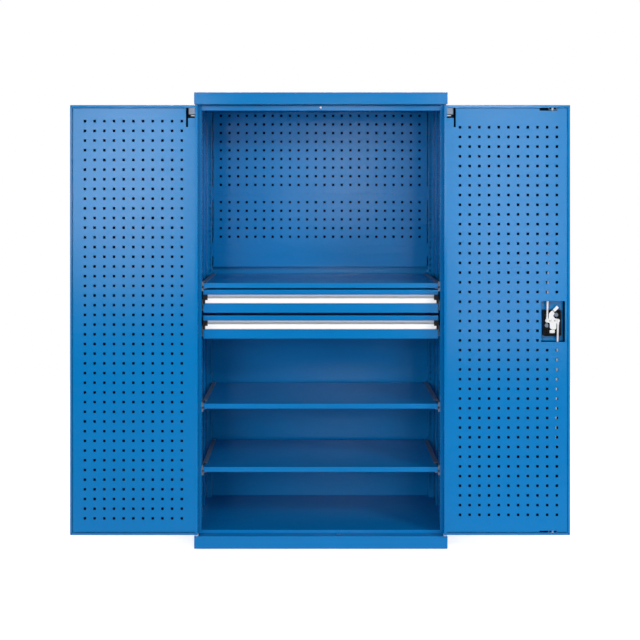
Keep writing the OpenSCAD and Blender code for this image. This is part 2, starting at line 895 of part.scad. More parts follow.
module left_hinge_spring() {
    on_left_door() hinge_spring();
}

module left_bottom_bush() {
    on_left_door() bottom_bush();
}

// An opening through the top or bottom wall of the right door, for a locking rod
module rod_opening(z) {
    translate([lock_x, rod_y, z - eps]) round_slot(rod_slot_l, rod_slot_w, sheet + 2 * eps);
}

module right_door_shell() {
    color(paint) on_right_door() difference() {
        door_shell(right_free);
        rod_opening(0);
        rod_opening(door_h - sheet);
        translate([lock_x, -hinge_depth - eps, lock_z - handle_base_drop])
            block([-base_half_w, 0, -base_half_h], [base_half_w, sheet + 2 * eps, base_half_h]);
    }
}

module lock_window() {
    translate([window_x - lock_window_w / 2, window_z - lock_window_h / 2])
        square([lock_window_w, lock_window_h]);
    for (z = [door_lip, door_h - 22]) {
        translate([lock_x - guide_slot_w + 16, z]) square([guide_slot_w, 10]);
    }
}

module right_door_panel() {
    color(paint) on_right_door() door_panel(right_free, right_first_row, true);
}

module right_door_strip() {
    outer = -hinge_depth - strip_t;
    color(paint) on_right_door() union() {
        block([right_free - strip_seat, outer, 1], [right_free, -hinge_depth, door_h - 1]);
        block([right_free - strip_seat, outer, 1], [strip_free, -hinge_depth - slide_gap, door_h - 1]);
    }
}

module right_hinge_block() {
    on_right_door() hinge_block();
}

module right_bolt_guide() {
    on_right_door() bolt_guide();
}

module right_hinge_bolt() {
    on_right_door() hinge_bolt();
}

module right_hinge_spring() {
    on_right_door() hinge_spring();
}

module right_bottom_bush() {
    on_right_door() bottom_bush();
}

// Lock: a base through the skin, a turning handle outside, a cam inside and two rods

// Puts the lock spindle at the origin with +Z into the door, X to the free edge and Y down
module on_lock() {
    on_right_door() translate([lock_x, -hinge_depth, lock_z]) rotate([-90, 0, 0]) children();
}

module handle_base() {
    depth = base_flange_t + handle_base_depth;
    color(black) on_lock() difference() {
        translate([0, handle_base_drop, 0]) union() {
            translate([-base_flange_w / 2, -base_flange_h / 2, -base_flange_t])
                cube([base_flange_w, base_flange_h, base_flange_t]);
            translate([-handle_base_w / 2, -handle_base_h / 2, -eps])
                cube([handle_base_w, handle_base_h, handle_base_depth + eps]);
        }
        translate([0, 0, -base_flange_t]) bore(spindle_d + 2 * run_gap, depth);
        translate([0, key_drop, -base_flange_t]) bore(key_d + 2 * run_gap, depth);
    }
}

handle_low = -base_flange_t - handle_gap - handle_t;

// The rest pose is unlocked, with the handle level; locked, it stands upright
module turning_handle() {
    reach = handle_len / 2 - handle_w / 2;
    color(black) on_lock() translate([0, 0, handle_low]) union() {
        translate([0, 0, handle_t - 7]) cylinder(d = handle_hub_d, h = 7);
        translate([-reach, -handle_w / 2, 0]) cube([2 * reach, handle_w, handle_t]);
        translate([-reach, 0, 0]) cylinder(d = handle_w, h = handle_t);
        translate([reach, 0, 0]) cylinder(d = handle_w, h = handle_t);
    }
}

// The plug passes through the base and ends in a tongue inside the door
module key_plug() {
    color(zinc) on_lock() translate([0, key_drop, -base_flange_t - 1]) difference() {
        union() {
            cylinder(d = key_d, h = base_flange_t + handle_base_depth + 1 + slide_gap);
            translate([-10, -6, base_flange_t + handle_base_depth + 1 + slide_gap]) cube([20, 12, 2]);
        }
        translate([-0.6, -3.5, -eps]) cube([1.2, 7, 4]);
    }
}

module lock_spindle() {
    far = cam_y + hinge_depth;
    near = handle_low + handle_t;
    color(plated) on_lock() translate([0, 0, near]) cylinder(d = spindle_d, h = far - near);
}

module cam_pin(x) {
    translate([x, 0, 0]) union() {
        cylinder(d = cam_pin_d + 8, h = cam_t);
        cylinder(d = cam_pin_d, h = cam_t + slide_gap + rod_end_t + slide_gap + eps);
        translate([0, 0, cam_t + rod_end_t + 2 * slide_gap]) cylinder(d = cam_pin_d + 4, h = 1.5);
    }
}

module lock_cam() {
    color(zinc) on_lock() translate([0, 0, cam_y + hinge_depth]) union() {
        linear_extrude(cam_t) polygon(cam_plate);
        cam_pin(-rod_throw);
        cam_pin(rod_throw);
        translate([cam_arm_root[0], cam_arm_root[1], 0]) rotate([0, 0, cam_arm_angle]) difference() {
            translate([-2, -6, 0]) cube([cam_arm_len + 2, 12, cam_t]);
            translate([3, -6 - eps, cam_t - 2.2]) cube([2.4, 12 + 2 * eps, 2.2 + eps]);
        }
        translate([0, 0, cam_t - eps]) cylinder(d = 14, h = 4);
    }
}

module guide(z) {
    back = rod_y - rod_slot_w / 2 - 3;
    translate([lock_x, 0, z]) difference() {
        translate([-guide_w / 2, back, 0]) cube([guide_w, panel_y - back, guide_h]);
        translate([0, rod_y, -eps]) round_slot(rod_slot_l, rod_slot_w, guide_h + 2 * eps);
    }
}

module rod_guides() {
    color(zinc) on_right_door() union() {
        guide(sheet);
        guide(door_h - sheet - guide_h);
    }
}

// A rod from its eye at the origin along +Z, flattened where it lies on the cam
module rod(length) {
    rotate([-90, 0, 0]) translate([0, 0, -rod_end_t / 2]) difference() {
        union() {
            cylinder(r = rod_eye_r, h = rod_end_t);
            translate([-rod_d / 2, -rod_neck, 0]) cube([rod_d, rod_neck, rod_end_t]);
        }
        bore(cam_pin_d + 2 * run_gap, rod_end_t);
    }
    translate([0, 0, rod_neck - 2]) cylinder(d = rod_d, h = length - rod_neck + 2);
}

module upper_rod() {
    color(zinc) on_right_door() translate([lock_x - rod_throw, rod_y, lock_z])
        rotate([0, upper_rod_tilt, 0]) rod(upper_rod_len);
}

module lower_rod() {
    color(zinc) on_right_door() translate([lock_x + rod_throw, rod_y, lock_z])
        rotate([0, 180 + lower_rod_tilt, 0]) rod(lower_rod_len);
}

left_side_panel();
right_side_panel();
back_panel();
top_cap();
ceiling_panel();
header_rail();
plinth();
floor_panel();
side_ribs();
front_uprights();
rear_uprights();
perforated_back_panel();
back_stiffeners();
drawer_top_shelf();
middle_shelf();
lower_shelf();
top_shelf_brackets();
middle_shelf_brackets();
lower_shelf_brackets();
bottom_pivots();
header_buffer();
upper_slide_rails();
lower_slide_rails();
upper_slide_middles();
upper_slide_runners();
upper_drawer_box();
upper_drawer_front();
upper_drawer_grip();
upper_drawer_label();
upper_drawer_end_caps();
lower_slide_middles();
lower_slide_runners();
lower_drawer_box();
lower_drawer_front();
lower_drawer_grip();
lower_drawer_label();
lower_drawer_end_caps();
left_door_shell();
left_door_panel();
left_hinge_block();
left_bolt_guide();
left_bottom_bush();
left_hinge_bolt();
left_hinge_spring();
right_door_shell();
right_door_panel();
right_door_strip();
right_hinge_block();
right_bolt_guide();
right_bottom_bush();
right_hinge_bolt();
right_hinge_spring();
handle_base();
turning_handle();
lock_spindle();
lock_cam();
key_plug();
rod_guides();
upper_rod();
lower_rod();
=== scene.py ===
"""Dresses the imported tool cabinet: folded sheet, powder paint, zinc-plated lock and hinges, and a studio."""

import json
import math

import bmesh
import bpy
import numpy as np
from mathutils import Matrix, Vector


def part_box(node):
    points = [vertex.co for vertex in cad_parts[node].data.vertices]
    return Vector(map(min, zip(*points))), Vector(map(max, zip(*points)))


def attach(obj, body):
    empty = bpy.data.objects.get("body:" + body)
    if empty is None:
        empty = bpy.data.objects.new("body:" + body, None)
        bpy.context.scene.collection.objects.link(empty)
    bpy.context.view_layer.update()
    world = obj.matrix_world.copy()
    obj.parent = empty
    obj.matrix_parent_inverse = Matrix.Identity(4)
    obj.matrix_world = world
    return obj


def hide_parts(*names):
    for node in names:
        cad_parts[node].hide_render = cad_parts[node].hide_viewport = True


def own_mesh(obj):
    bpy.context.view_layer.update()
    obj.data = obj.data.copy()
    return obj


bl_info = {
    "name": "Perforated tool cabinet",
    "version": (1, 0, 0),
    "blender": (4, 5, 0),
    "location": "3D View > Sidebar > Cabinet",
    "description": "Finishes and fine parts for a sheet-steel tool cabinet with two doors",
    "category": "Object",
}

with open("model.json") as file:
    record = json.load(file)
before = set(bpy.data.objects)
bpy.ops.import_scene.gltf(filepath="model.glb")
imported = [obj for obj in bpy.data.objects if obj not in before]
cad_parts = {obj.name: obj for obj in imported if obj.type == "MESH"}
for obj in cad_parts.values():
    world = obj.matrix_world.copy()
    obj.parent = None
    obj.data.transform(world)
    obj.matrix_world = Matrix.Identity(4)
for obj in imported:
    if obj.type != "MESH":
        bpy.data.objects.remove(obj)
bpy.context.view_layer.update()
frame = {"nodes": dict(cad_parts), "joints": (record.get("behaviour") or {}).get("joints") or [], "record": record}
NODES = frame["nodes"]
JOINTS = {joint["name"]: joint for joint in frame["joints"]}

# Places are worked out in millimetres as (x, p, z), where p is the depth behind the front of the cap
MM = 0.001
FRONT_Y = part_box("top_cap")[0].y
HINGE_X = JOINTS["right_door_swing"]["pos_m"][0] / MM
HINGE_P = (JOINTS["right_door_swing"]["pos_m"][1] - FRONT_Y) / MM
LOCK_X = JOINTS["handle_turn"]["pos_m"][0] / MM
LOCK_Z = JOINTS["handle_turn"]["pos_m"][2] / MM
KEY_DROP = LOCK_Z - JOINTS["key_turn"]["pos_m"][2] / MM
ROD_THROW = LOCK_X - JOINTS["upper_rod_hinge"]["pos_m"][0] / MM
SHEET = 1.2
SHARP = 0.01


def node_box(node):
    """The node's box as (x0, x1, p0, p1, z0, z1) in millimetres."""
    low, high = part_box(node)
    return (low.x / MM, high.x / MM, (low.y - FRONT_Y) / MM, (high.y - FRONT_Y) / MM, low.z / MM, high.z / MM)


# Surfaces as arrays

def rounded_rectangle(x0, x1, y0, y1, radius, steps=5):
    """Loop round a rectangle: each corner is a quarter circle, corner centre + radius * (cos a, sin a).

    All sizes may be arrays with one entry per row; the answer is rows x points x 2."""
    x0, x1, y0, y1, radius = np.broadcast_arrays(*[np.atleast_1d(np.asarray(v, float))
                                                   for v in (x0, x1, y0, y1, radius)])
    turn = np.linspace(0, math.pi / 2, steps + 1)
    quarters = []
    for k, (cx, cy) in enumerate(((x1 - radius, y0 + radius), (x1 - radius, y1 - radius),
                                  (x0 + radius, y1 - radius), (x0 + radius, y0 + radius))):
        a = turn + (k - 1) * math.pi / 2
        quarters.append(np.stack([cx[:, None] + radius[:, None] * np.cos(a),
                                  cy[:, None] + radius[:, None] * np.sin(a)], -1))
    return np.concatenate(quarters, 1)


def bent(points, radius, steps=4):
    """Polyline whose corners become arcs: centre + radius * (cos a, sin a) between the two tangent points."""
    points = np.asarray(points, float)
    out = [points[:1]]
    for before, corner, after in zip(points[:-2], points[1:-1], points[2:]):
        d1 = (corner - before) / np.linalg.norm(corner - before)
        d2 = (after - corner) / np.linalg.norm(after - corner)
        side = math.copysign(1.0, d1[0] * d2[1] - d1[1] * d2[0])
        turn = math.acos(float(np.clip(d1 @ d2, -1, 1)))
        reach = radius * math.tan(turn / 2)
        spoke = side * np.array([d1[1], -d1[0]]) * radius
        centre = corner - d1 * reach - spoke
        a = side * np.linspace(0, turn, steps + 1)
        out.append(centre + np.stack([spoke[0] * np.cos(a) - spoke[1] * np.sin(a),
                                      spoke[0] * np.sin(a) + spoke[1] * np.cos(a)], -1))
    out.append(points[-1:])
    return np.concatenate(out)


def offset_line(line, distance):
    """Each point moved along the mean of its two normals, by distance over the cosine of half the turn."""
    step = np.diff(line, axis=0)
    step /= np.linalg.norm(step, axis=1, keepdims=True)
    normal = np.stack([-step[:, 1], step[:, 0]], -1)
    first = np.concatenate([normal[:1], normal])
    second = np.concatenate([normal, normal[-1:]])
    mean = first + second
    mean /= np.linalg.norm(mean, axis=1, keepdims=True)
    return line + mean * (distance / np.maximum((mean * first).sum(1), 0.3))[:, None]


def folded(points, thickness=SHEET, radius=1.5, steps=4):
    """Closed section of folded sheet: the bent centreline moved half a thickness to each side."""
    line = bent(points, radius, steps)
    return np.concatenate([offset_line(line, thickness / 2), offset_line(line, -thickness / 2)[::-1]])


def quad_faces(rows, columns, wrap_columns, wrap_rows):
    """Faces (r, c), (r, c + 1), (r + 1, c + 1), (r + 1, c) of a grid, by the numbers of its points."""
    r = np.arange(rows if wrap_rows else rows - 1)
    c = np.arange(columns if wrap_columns else columns - 1)
    r, c = [v.ravel() for v in np.meshgrid(r, c, indexing="ij")]
    r2, c2 = (r + 1) % rows, (c + 1) % columns
    return np.stack([r * columns + c, r * columns + c2, r2 * columns + c2, r2 * columns + c], -1)


def outward(points, quads, caps):
    """The same closed surface with its faces turned outwards, by the sign of the volume it bounds."""
    fans = [np.concatenate([quads[:, [0, 1, 2]], quads[:, [0, 2, 3]]])]
    for cap in caps:
        cap = np.asarray(cap)
        fans.append(np.stack([np.full(len(cap) - 2, cap[0]), cap[1:-1], cap[2:]], -1))
    t = points[np.concatenate(fans)]
    if np.einsum("ij,ij->", t[:, 0], np.cross(t[:, 1], t[:, 2])) < 0:
        quads, caps = quads[:, ::-1], [list(cap)[::-1] for cap in caps]
    return points, quads, caps


def shell(grid, wrap_rows=False, capped=True):
    """Closed surface through a rows x columns grid of points that wraps round its columns."""
    rows, columns = grid.shape[:2]
    quads = quad_faces(rows, columns, True, wrap_rows)
    caps = []
    if capped and not wrap_rows:
        caps = [list(range(columns))[::-1], list(range((rows - 1) * columns, rows * columns))]
    return outward(grid.reshape(-1, 3), quads, caps)


def carried(section, start, end, place):
    """A closed section carried along a straight line: place(u, v, s) for s at both ends, capped."""
    s = np.array([start, end], float)[:, None]
    u, v = section[None, :, 0] + 0 * s, section[None, :, 1] + 0 * s
    return shell(place(u, v, s + 0 * u))


def turned(profile, place, steps=32):
    """A (radius, height) profile turned about its axis: place(radius * cos a, radius * sin a, height)."""
    profile = np.asarray(profile, float)
    a = np.linspace(0, 2 * math.pi, steps, endpoint=False)
    r, h = profile[:, :1], profile[:, 1:2]
    return shell(place(r * np.cos(a), r * np.sin(a), h + 0 * a))


def tube(path, radius, steps=14):
    """A round bar: path + radius * (n cos a + b sin a), with n and b carried along the path, ends domed."""
    path = np.asarray(path, float)
    tangent = np.gradient(path, axis=0)
    tangent /= np.linalg.norm(tangent, axis=1, keepdims=True)
    normals = np.empty_like(path)
    n = np.cross(tangent[0], [0.31, 0.52, 0.79])
    for k, t in enumerate(tangent):
        n = n - t * (n @ t)
        n = n / np.linalg.norm(n)
        normals[k] = n
    across = np.cross(tangent, normals)
    rise = np.array([0.05, 0.5, 0.85])
    head = path[0] - tangent[0] * radius * (0.5 - rise[:, None] * 0.5)
    tail = path[-1] + tangent[-1] * radius * (0.5 - rise[::-1, None] * 0.5)
    centres = np.concatenate([head, path, tail])
    radii = radius * np.concatenate([np.sqrt(1 - (1 - rise) ** 2), np.ones(len(path)),
                                     np.sqrt(1 - (1 - rise[::-1]) ** 2)])
    n3 = np.concatenate([np.repeat(normals[:1], 3, 0), normals, np.repeat(normals[-1:], 3, 0)])
    b3 = np.concatenate([np.repeat(across[:1], 3, 0), across, np.repeat(across[-1:], 3, 0)])
    a = np.linspace(0, 2 * math.pi, steps, endpoint=False)[None, :, None]
    return shell(centres[:, None] + radii[:, None, None]
                 * (n3[:, None] * np.cos(a) + b3[:, None] * np.sin(a)))


def shrunk(outline, distance):
    """A closed outline moved inwards by distance, for a counter-clockwise outline."""
    before, after = np.roll(outline, 1, 0), np.roll(outline, -1, 0)
    d1, d2 = outline - before, after - outline
    d1 /= np.linalg.norm(d1, axis=1, keepdims=True)
    d2 /= np.linalg.norm(d2, axis=1, keepdims=True)
    n1, n2 = np.stack([-d1[:, 1], d1[:, 0]], -1), np.stack([-d2[:, 1], d2[:, 0]], -1)
    mean = n1 + n2
    mean /= np.maximum(np.linalg.norm(mean, axis=1, keepdims=True), 1e-9)
    return outline + mean * (distance / np.maximum((mean * n1).sum(1), 0.5))[:, None]


def slab(outline, low, high, place, ease=0.6):
    """A plate of any outline between two heights: its rims are eased by shrinking the outline."""
    outline = np.asarray(outline, float)
    ahead = np.roll(outline, -1, 0)
    area = 0.5 * np.sum(outline[:, 0] * ahead[:, 1] - outline[:, 1] * ahead[:, 0])
    if area < 0:
        outline = outline[::-1]
    a = np.linspace(0, math.pi / 2, 4)
    rows = [(shrunk(outline, ease * (1 - math.sin(t))), low + ease * (1 - math.cos(t))) for t in a]
    rows += [(shrunk(outline, ease * (1 - math.cos(t))), high - ease * (1 - math.sin(t))) for t in a]
    grid = np.stack([place(o[:, 0], o[:, 1], np.full(len(o), h)) for o, h in rows])
    return shell(grid)


def cutter(outline, low, high, place):
    """A plate with sharp rims, for holes and slots."""
    return slab(outline, low, high, place, SHARP)


def rounded_outline(points, radius, steps=4):
    """A closed outline with its corners rounded."""
    points = np.asarray(points, float)
    line = bent(np.concatenate([points[-1:], points, points[:1]]), radius, steps)
    return line[1:-1]


def circle(x, y, radius, steps=24):
    """Outline centre + radius * (cos a, sin a)."""
    a = np.linspace(0, 2 * math.pi, steps, endpoint=False)
    return np.stack([x + radius * np.cos(a), y + radius * np.sin(a)], -1)


def capsule(x, y, length, width, steps=8):
    """A slot outline, long in x."""
    return rounded_rectangle(x - length / 2, x + length / 2, y - width / 2, y + width / 2, width / 2 - 1e-3,
                             steps)[0]


def ring_of_sheet(lines, rectangle, corner, place, plate=True, thickness=SHEET, bend=1.5):
    """Folded sheet round a rectangle: each side's section has its own inset u and height v, on rounded loops.

    lines holds the centrelines of the low-x, high-x, low-y and high-y sides. A plate has both ends closed."""
    sections = [folded(line, thickness, bend) for line in lines]
    u = np.stack([s[:, 0] for s in sections])
    v = sections[0][:, 1]
    x0, x1, y0, y1 = rectangle
    radius = np.maximum(corner - u.min(0), 0.12)
    loops = rounded_rectangle(x0 + u[0], x1 - u[1], y0 + u[2], y1 - u[3], radius)
    grid = place(loops[..., 0], loops[..., 1], v[:, None] + 0 * loops[..., 0])
    return shell(grid, wrap_rows=not plate)


# Places

def in_cabinet(x, p, z):
    """Place from x, the depth p and the height z."""
    return np.stack(np.broadcast_arrays(x, p, z), -1)


def along_x(p, z, x):
    """Place of a section in depth and height that runs along x."""
    return in_cabinet(x, p, z)


def on_face(x, z, p):
    """Place of an outline seen from the front, carried to the depth p."""
    return in_cabinet(x, p, z)


def towards_front(x, z, height):
    """Place of an outline seen from the front, carried forwards: depth = -height."""
    return in_cabinet(x, -height, z)


def on_door(side, lower_edge):
    """Place on an opened door, from the distances off its hinge axis and above its lower edge."""
    def place(along, behind, up):
        return np.stack(np.broadcast_arrays(side * (HINGE_X + along), HINGE_P - behind, lower_edge + up), -1)
    return place


def on_lock(across, down, inwards):
    """Place on the lock: to the free edge, down, and into the door from its skin."""
    return np.stack(np.broadcast_arrays(LOCK_X + across, SKIN_P - inwards, LOCK_Z - down), -1)


SKIN_P = node_box("right_door_shell")[3]


# Pieces

def fill_mesh(name, parts):
    """One mesh from parts in millimetres, placed in the frame."""
    points, faces, start = [], [], 0
    for part, quads, caps in parts:
        points.append(part)
        faces += (quads + start).tolist()
        faces += [[i + start for i in cap] for cap in caps]
        start += len(part)
    points = np.concatenate(points) * MM
    points[:, 1] += FRONT_Y
    mesh = bpy.data.meshes.new(name)
    mesh.from_pydata(points.tolist(), [], faces)
    mesh.validate()
    mesh.update()
    return mesh


def add_object(name, mesh):
    """Puts a mesh into the scene, untransformed."""
    piece = bpy.data.objects.new(name, mesh)
    bpy.context.scene.collection.objects.link(piece)
    return piece


def body_of_node(node):
    """The body that a node moves with."""
    return next(b for b, names in frame["record"]["behaviour"]["bodies"].items() if node in names)


def slot_of_node(node):
    """The material slot that the record gives a node."""
    return next(s["material_slot"] for s in frame["record"]["subparts"] if s["node"] == node)


def finish_piece(piece, material, node=None, body=None):
    """Gives a piece its finish and ties it to the frame, in place of a node if one is named."""
    piece.data.materials.clear()
    piece.data.materials.append(material)
    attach(piece, body or body_of_node(node))
    if node:
        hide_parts(node)
    return piece


def smooth(piece, degrees=28):
    """Smooth shading that keeps large faces flat and leaves edges over the given angle sharp."""
    piece.data.shade_smooth()
    piece.data.set_sharp_from_angle(angle=math.radians(degrees))
    normals = piece.modifiers.new("flat faces", "WEIGHTED_NORMAL")
    normals.mode, normals.weight, normals.keep_sharp = "FACE_AREA", 100, True


def make_piece(name, parts, material, node=None, body=None, cutters=()):
    """A finished piece from parts in millimetres, less the cutters, in place of a node if one is named."""
    piece = add_object(name, fill_mesh(name, parts))
    if cutters:
        cut(piece, cutters)
    smooth(piece)
    return finish_piece(piece, material, node, body)


def cut(piece, cutters):
    """Takes the closed parts in cutters out of a piece."""
    tool = add_object("cutter", fill_mesh("cutter", cutters))
    modifier = piece.modifiers.new("holes", "BOOLEAN")
    modifier.operation, modifier.solver, modifier.object = "DIFFERENCE", "EXACT", tool
    modifier.use_self = True
    bpy.context.view_layer.update()
    mesh = bpy.data.meshes.new_from_object(piece.evaluated_get(bpy.context.evaluated_depsgraph_get()))
    before = len(piece.data.polygons)
    piece.modifiers.clear()
    if len(mesh.polygons) < before // 2:
        raise RuntimeError("the holes in %s took most of it away" % piece.name)
    piece.data = mesh
    mesh.name = piece.name
    bpy.data.objects.remove(tool)


def ease_edges(node, material, width, segments=2, cutters=()):
    """A copy of a node with its edges eased, in place of the node."""
    source = bmesh.new()
    source.from_mesh(NODES[node].data)
    bmesh.ops.remove_doubles(source, verts=source.verts, dist=2e-6)
    bmesh.ops.dissolve_limit(source, angle_limit=math.radians(0.5), verts=source.verts, edges=source.edges)
    name = node.replace("_", "-") + "-eased"
    mesh = bpy.data.meshes.new(name)
    source.to_mesh(mesh)
    source.free()
    piece = add_object(name, mesh)
    if cutters:
        cut(piece, cutters)
    if width:
        bevel = piece.modifiers.new("eased edges", "BEVEL")
        bevel.width, bevel.segments, bevel.limit_method = width * MM, segments, "ANGLE"
        bevel.angle_limit = math.radians(40)
    smooth(piece, 60 if width else 28)
    return finish_piece(piece, material, node)


# Finishes

class Shades:
    """One material, or the world, and the nodes in it."""

    def __init__(self, name, world=False):
        self.owner = (bpy.data.worlds if world else bpy.data.materials).new(name)
        self.owner.use_nodes = True
        self.tree = self.owner.node_tree
        self.tree.nodes.clear()
        self.output = self.tree.nodes.new("ShaderNodeOutputWorld" if world else "ShaderNodeOutputMaterial")
        self.places = self.add("ShaderNodeTexCoord").outputs
        self.object = self.places["Object"]

    def add(self, kind, settings=None, **inputs):
        """A node with its settings, and a value or link for each input."""
        node = self.tree.nodes.new(kind)
        for key, value in (settings or {}).items():
            setattr(node, key, value)
        for key, value in inputs.items():
            self.put(node, key.replace("_", " "), value)
        return node

    def put(self, node, key, value):
        """Sets an input by name or number, or links it to another socket."""
        socket = node.inputs[int(key)] if key.isdigit() else node.inputs[key]
        if isinstance(value, bpy.types.NodeSocket):
            self.tree.links.new(value, socket)
        else:
            socket.default_value = value

    def stretched(self, x, y, z):
        """Object coordinates scaled along each axis."""
        return self.add("ShaderNodeMapping", Vector=self.object, Scale=(x, y, z)).outputs["Vector"]

    def noise(self, scale, detail=3.0, roughness=0.55, vector=None):
        """Noise between zero and one."""
        node = self.add("ShaderNodeTexNoise", Vector=vector or self.object, Scale=scale, Detail=detail,
                        Roughness=roughness)
        return node.outputs["Fac"]

    def spread(self, value, low, high, to_low, to_high):
        """A value mapped from one range to another, and held at its ends."""
        node = self.add("ShaderNodeMapRange", {"clamp": True})
        for key, number in zip(("Value", "From Min", "From Max", "To Min", "To Max"),
                               (value, low, high, to_low, to_high)):
            self.put(node, key, number)
        return node.outputs["Result"]

    def maths(self, operation, a, b=0.5):
        """One sum of two values."""
        node = self.add("ShaderNodeMath", {"operation": operation, "use_clamp": False})
        self.put(node, "0", a)
        self.put(node, "1", b)
        return node.outputs["Value"]

    def mixed(self, factor, a, b):
        """Colour a where the factor is zero, b where it is one."""
        node = self.add("ShaderNodeMix", {"data_type": "RGBA"})
        for index, value in ((0, factor), (6, a), (7, b)):
            if isinstance(value, bpy.types.NodeSocket):
                self.tree.links.new(value, node.inputs[index])
            else:
                node.inputs[index].default_value = value
        return node.outputs[2]

    def cloudy(self, factor, low, high, colour, dark, light):
        """A colour that goes from one tint to another as the factor goes from low to high."""
        share = self.spread(factor, low, high, 0.0, 1.0)
        return self.mixed(share, tinted(colour, dark), tinted(colour, light))

    def eased_normal(self, radius):
        """The normal that softly rounded edges would have, and how much it leaves the face's own."""
        bevel = self.add("ShaderNodeBevel", {"samples": 4}, Radius=radius)
        own = self.add("ShaderNodeNewGeometry").outputs["Normal"]
        dot = self.add("ShaderNodeVectorMath", {"operation": "DOT_PRODUCT"})
        self.put(dot, "0", bevel.outputs["Normal"])
        self.put(dot, "1", own)
        return bevel.outputs["Normal"], self.maths("SUBTRACT", 1.0, dot.outputs["Value"])

    def bumped(self, height, strength, distance, normal=None):
        """The normal of a face with a fine relief on it."""
        node = self.add("ShaderNodeBump", Height=height, Strength=strength, Distance=distance)
        if normal is not None:
            self.put(node, "Normal", normal)
        return node.outputs["Normal"]

    def within(self, box):
        """One inside a box given as (low, high) in metres for each axis, and zero outside it."""
        where = self.add("ShaderNodeSeparateXYZ", Vector=self.object)
        mask = 1.0
        for axis, (low, high) in zip("XYZ", box):
            above = self.maths("GREATER_THAN", where.outputs[axis], low)
            below = self.maths("LESS_THAN", where.outputs[axis], high)
            mask = self.maths("MULTIPLY", mask, self.maths("MULTIPLY", above, below))
        return mask

    def close(self, **inputs):
        """Ends the material with its main shader."""
        shader = self.add("ShaderNodeBsdfPrincipled")
        for key, value in inputs.items():
            self.put(shader, key.replace("_", " "), value)
        self.tree.links.new(shader.outputs["BSDF"], self.output.inputs["Surface"])
        return self.owner


def tinted(colour, factor):
    """A colour times a factor, at most one."""
    return tuple(min(1.0, c * factor) for c in colour[:3]) + (1.0,)


def powder_paint(name, colour, roughness, gloss, peel, hollow=None, opening=None):
    """Powder coat: cloudy tone, fine peel in the gloss, dusty specks, and edges rubbed slightly paler.

    Inside a hollow box the tone is painted near-black with almost no gloss, as painted shade, but not in an
    opening."""
    s = Shades(name)
    cloud = s.noise(1.7, 4.0)
    mottle = s.noise(38.0, 3.0)
    tone = s.cloudy(cloud, 0.3, 0.7, colour, 0.95, 1.04)
    tone = s.mixed(s.spread(mottle, 0.35, 0.75, 0.0, 0.14), tone, tinted(colour, 0.86))
    normal, rim = s.eased_normal(0.0012)
    worn = s.maths("MULTIPLY", s.spread(rim, 0.02, 0.3, 0.0, 1.0),
                   s.spread(s.noise(55.0, 4.0), 0.42, 0.62, 0.15, 0.6))
    pale = tuple(min(1.0, c * 0.75 + 0.10) for c in colour[:3]) + (1.0,)
    tone = s.mixed(worn, tone, pale)
    scuffs = s.noise(9.0, 6.0, 0.7, s.stretched(1.0, 1.0, 7.0))
    rough = s.maths("ADD", s.spread(scuffs, 0.4, 0.8, roughness - 0.02, roughness + 0.06),
                    s.spread(worn, 0.0, 1.0, 0.0, 0.12))
    height = s.maths("ADD", s.noise(420.0, 2.0), s.maths("MULTIPLY", s.noise(120.0, 2.0), 0.8))
    # Painted shade: inside the hollow box the tone drops to near-black and the gloss to 0.02, except in the
    # opening.
    if hollow:
        painted_shade = s.within(hollow)
        if opening:
            painted_shade = s.maths("MULTIPLY", painted_shade, s.maths("SUBTRACT", 1.0, s.within(opening)))
        tone = s.mixed(painted_shade, tone, s.mixed(mottle, tinted(colour, 0.05), tinted(colour, 0.08)))
        gloss = s.spread(painted_shade, 0.0, 1.0, gloss, 0.02)
    return s.close(Base_Color=tone, Roughness=rough, Specular_IOR_Level=gloss,
                   Normal=s.bumped(height, peel, 0.0003, normal))


def metres(x0, x1, p0, p1, z0, z1):
    """A box in millimetres as (low, high) in metres for each axis of the frame."""
    return (x0 * MM, x1 * MM), (FRONT_Y + p0 * MM, FRONT_Y + p1 * MM), (z0 * MM, z1 * MM)


def inside_of_door(side):
    """The hollow of a door between the middles of its sheets, where the door paint is painted near-black as shade.
    """
    box = node_box("right_door_shell" if side > 0 else "left_door_shell")
    near, far = sorted((abs(box[0]), abs(box[1])))
    x0, x1 = sorted((side * (near + SHEET / 2), side * (far + FREE_REACH - SHEET / 2)))
    return metres(x0, x1, box[2] + HOLLOW_START, box[3] - SHEET / 2, box[4] + SHEET / 2, box[5] - SHEET / 2)


def housing():
    """The housing behind the handle's flange, as (x0, x1, z0, z1) in millimetres."""
    x0, x1, _, _, z0, z1 = node_box("handle_base")
    return x0 + HOUSING_INSET, x1 - HOUSING_INSET, z0 + HOUSING_RISE, z1 - HOUSING_RISE


def galvanised(name, colour):
    """Zinc-dipped steel: spangles in tone and gloss, drawn lightly along its length."""
    s = Shades(name)
    spangle = s.add("ShaderNodeTexVoronoi", {"feature": "F1"}, Vector=s.object, Scale=190.0, Randomness=1.0)
    drawn = s.noise(30.0, 4.0, 0.6, s.stretched(8.0, 1.0, 8.0))
    flake = s.spread(spangle.outputs["Color"], 0.0, 1.0, 0.0, 1.0)
    tone = s.mixed(flake, tinted(colour, 0.82), tinted(colour, 1.12))
    tone = s.mixed(s.spread(drawn, 0.4, 0.7, 0.0, 0.35), tone, tinted(colour, 0.7))
    normal, rim = s.eased_normal(0.0006)
    rough = s.maths("ADD", s.spread(flake, 0.0, 1.0, 0.30, 0.42), s.spread(rim, 0.02, 0.3, 0.0, -0.08))
    return s.close(Base_Color=tone, Metallic=1.0, Roughness=rough,
                   Normal=s.bumped(drawn, 0.15, 0.0002, normal))


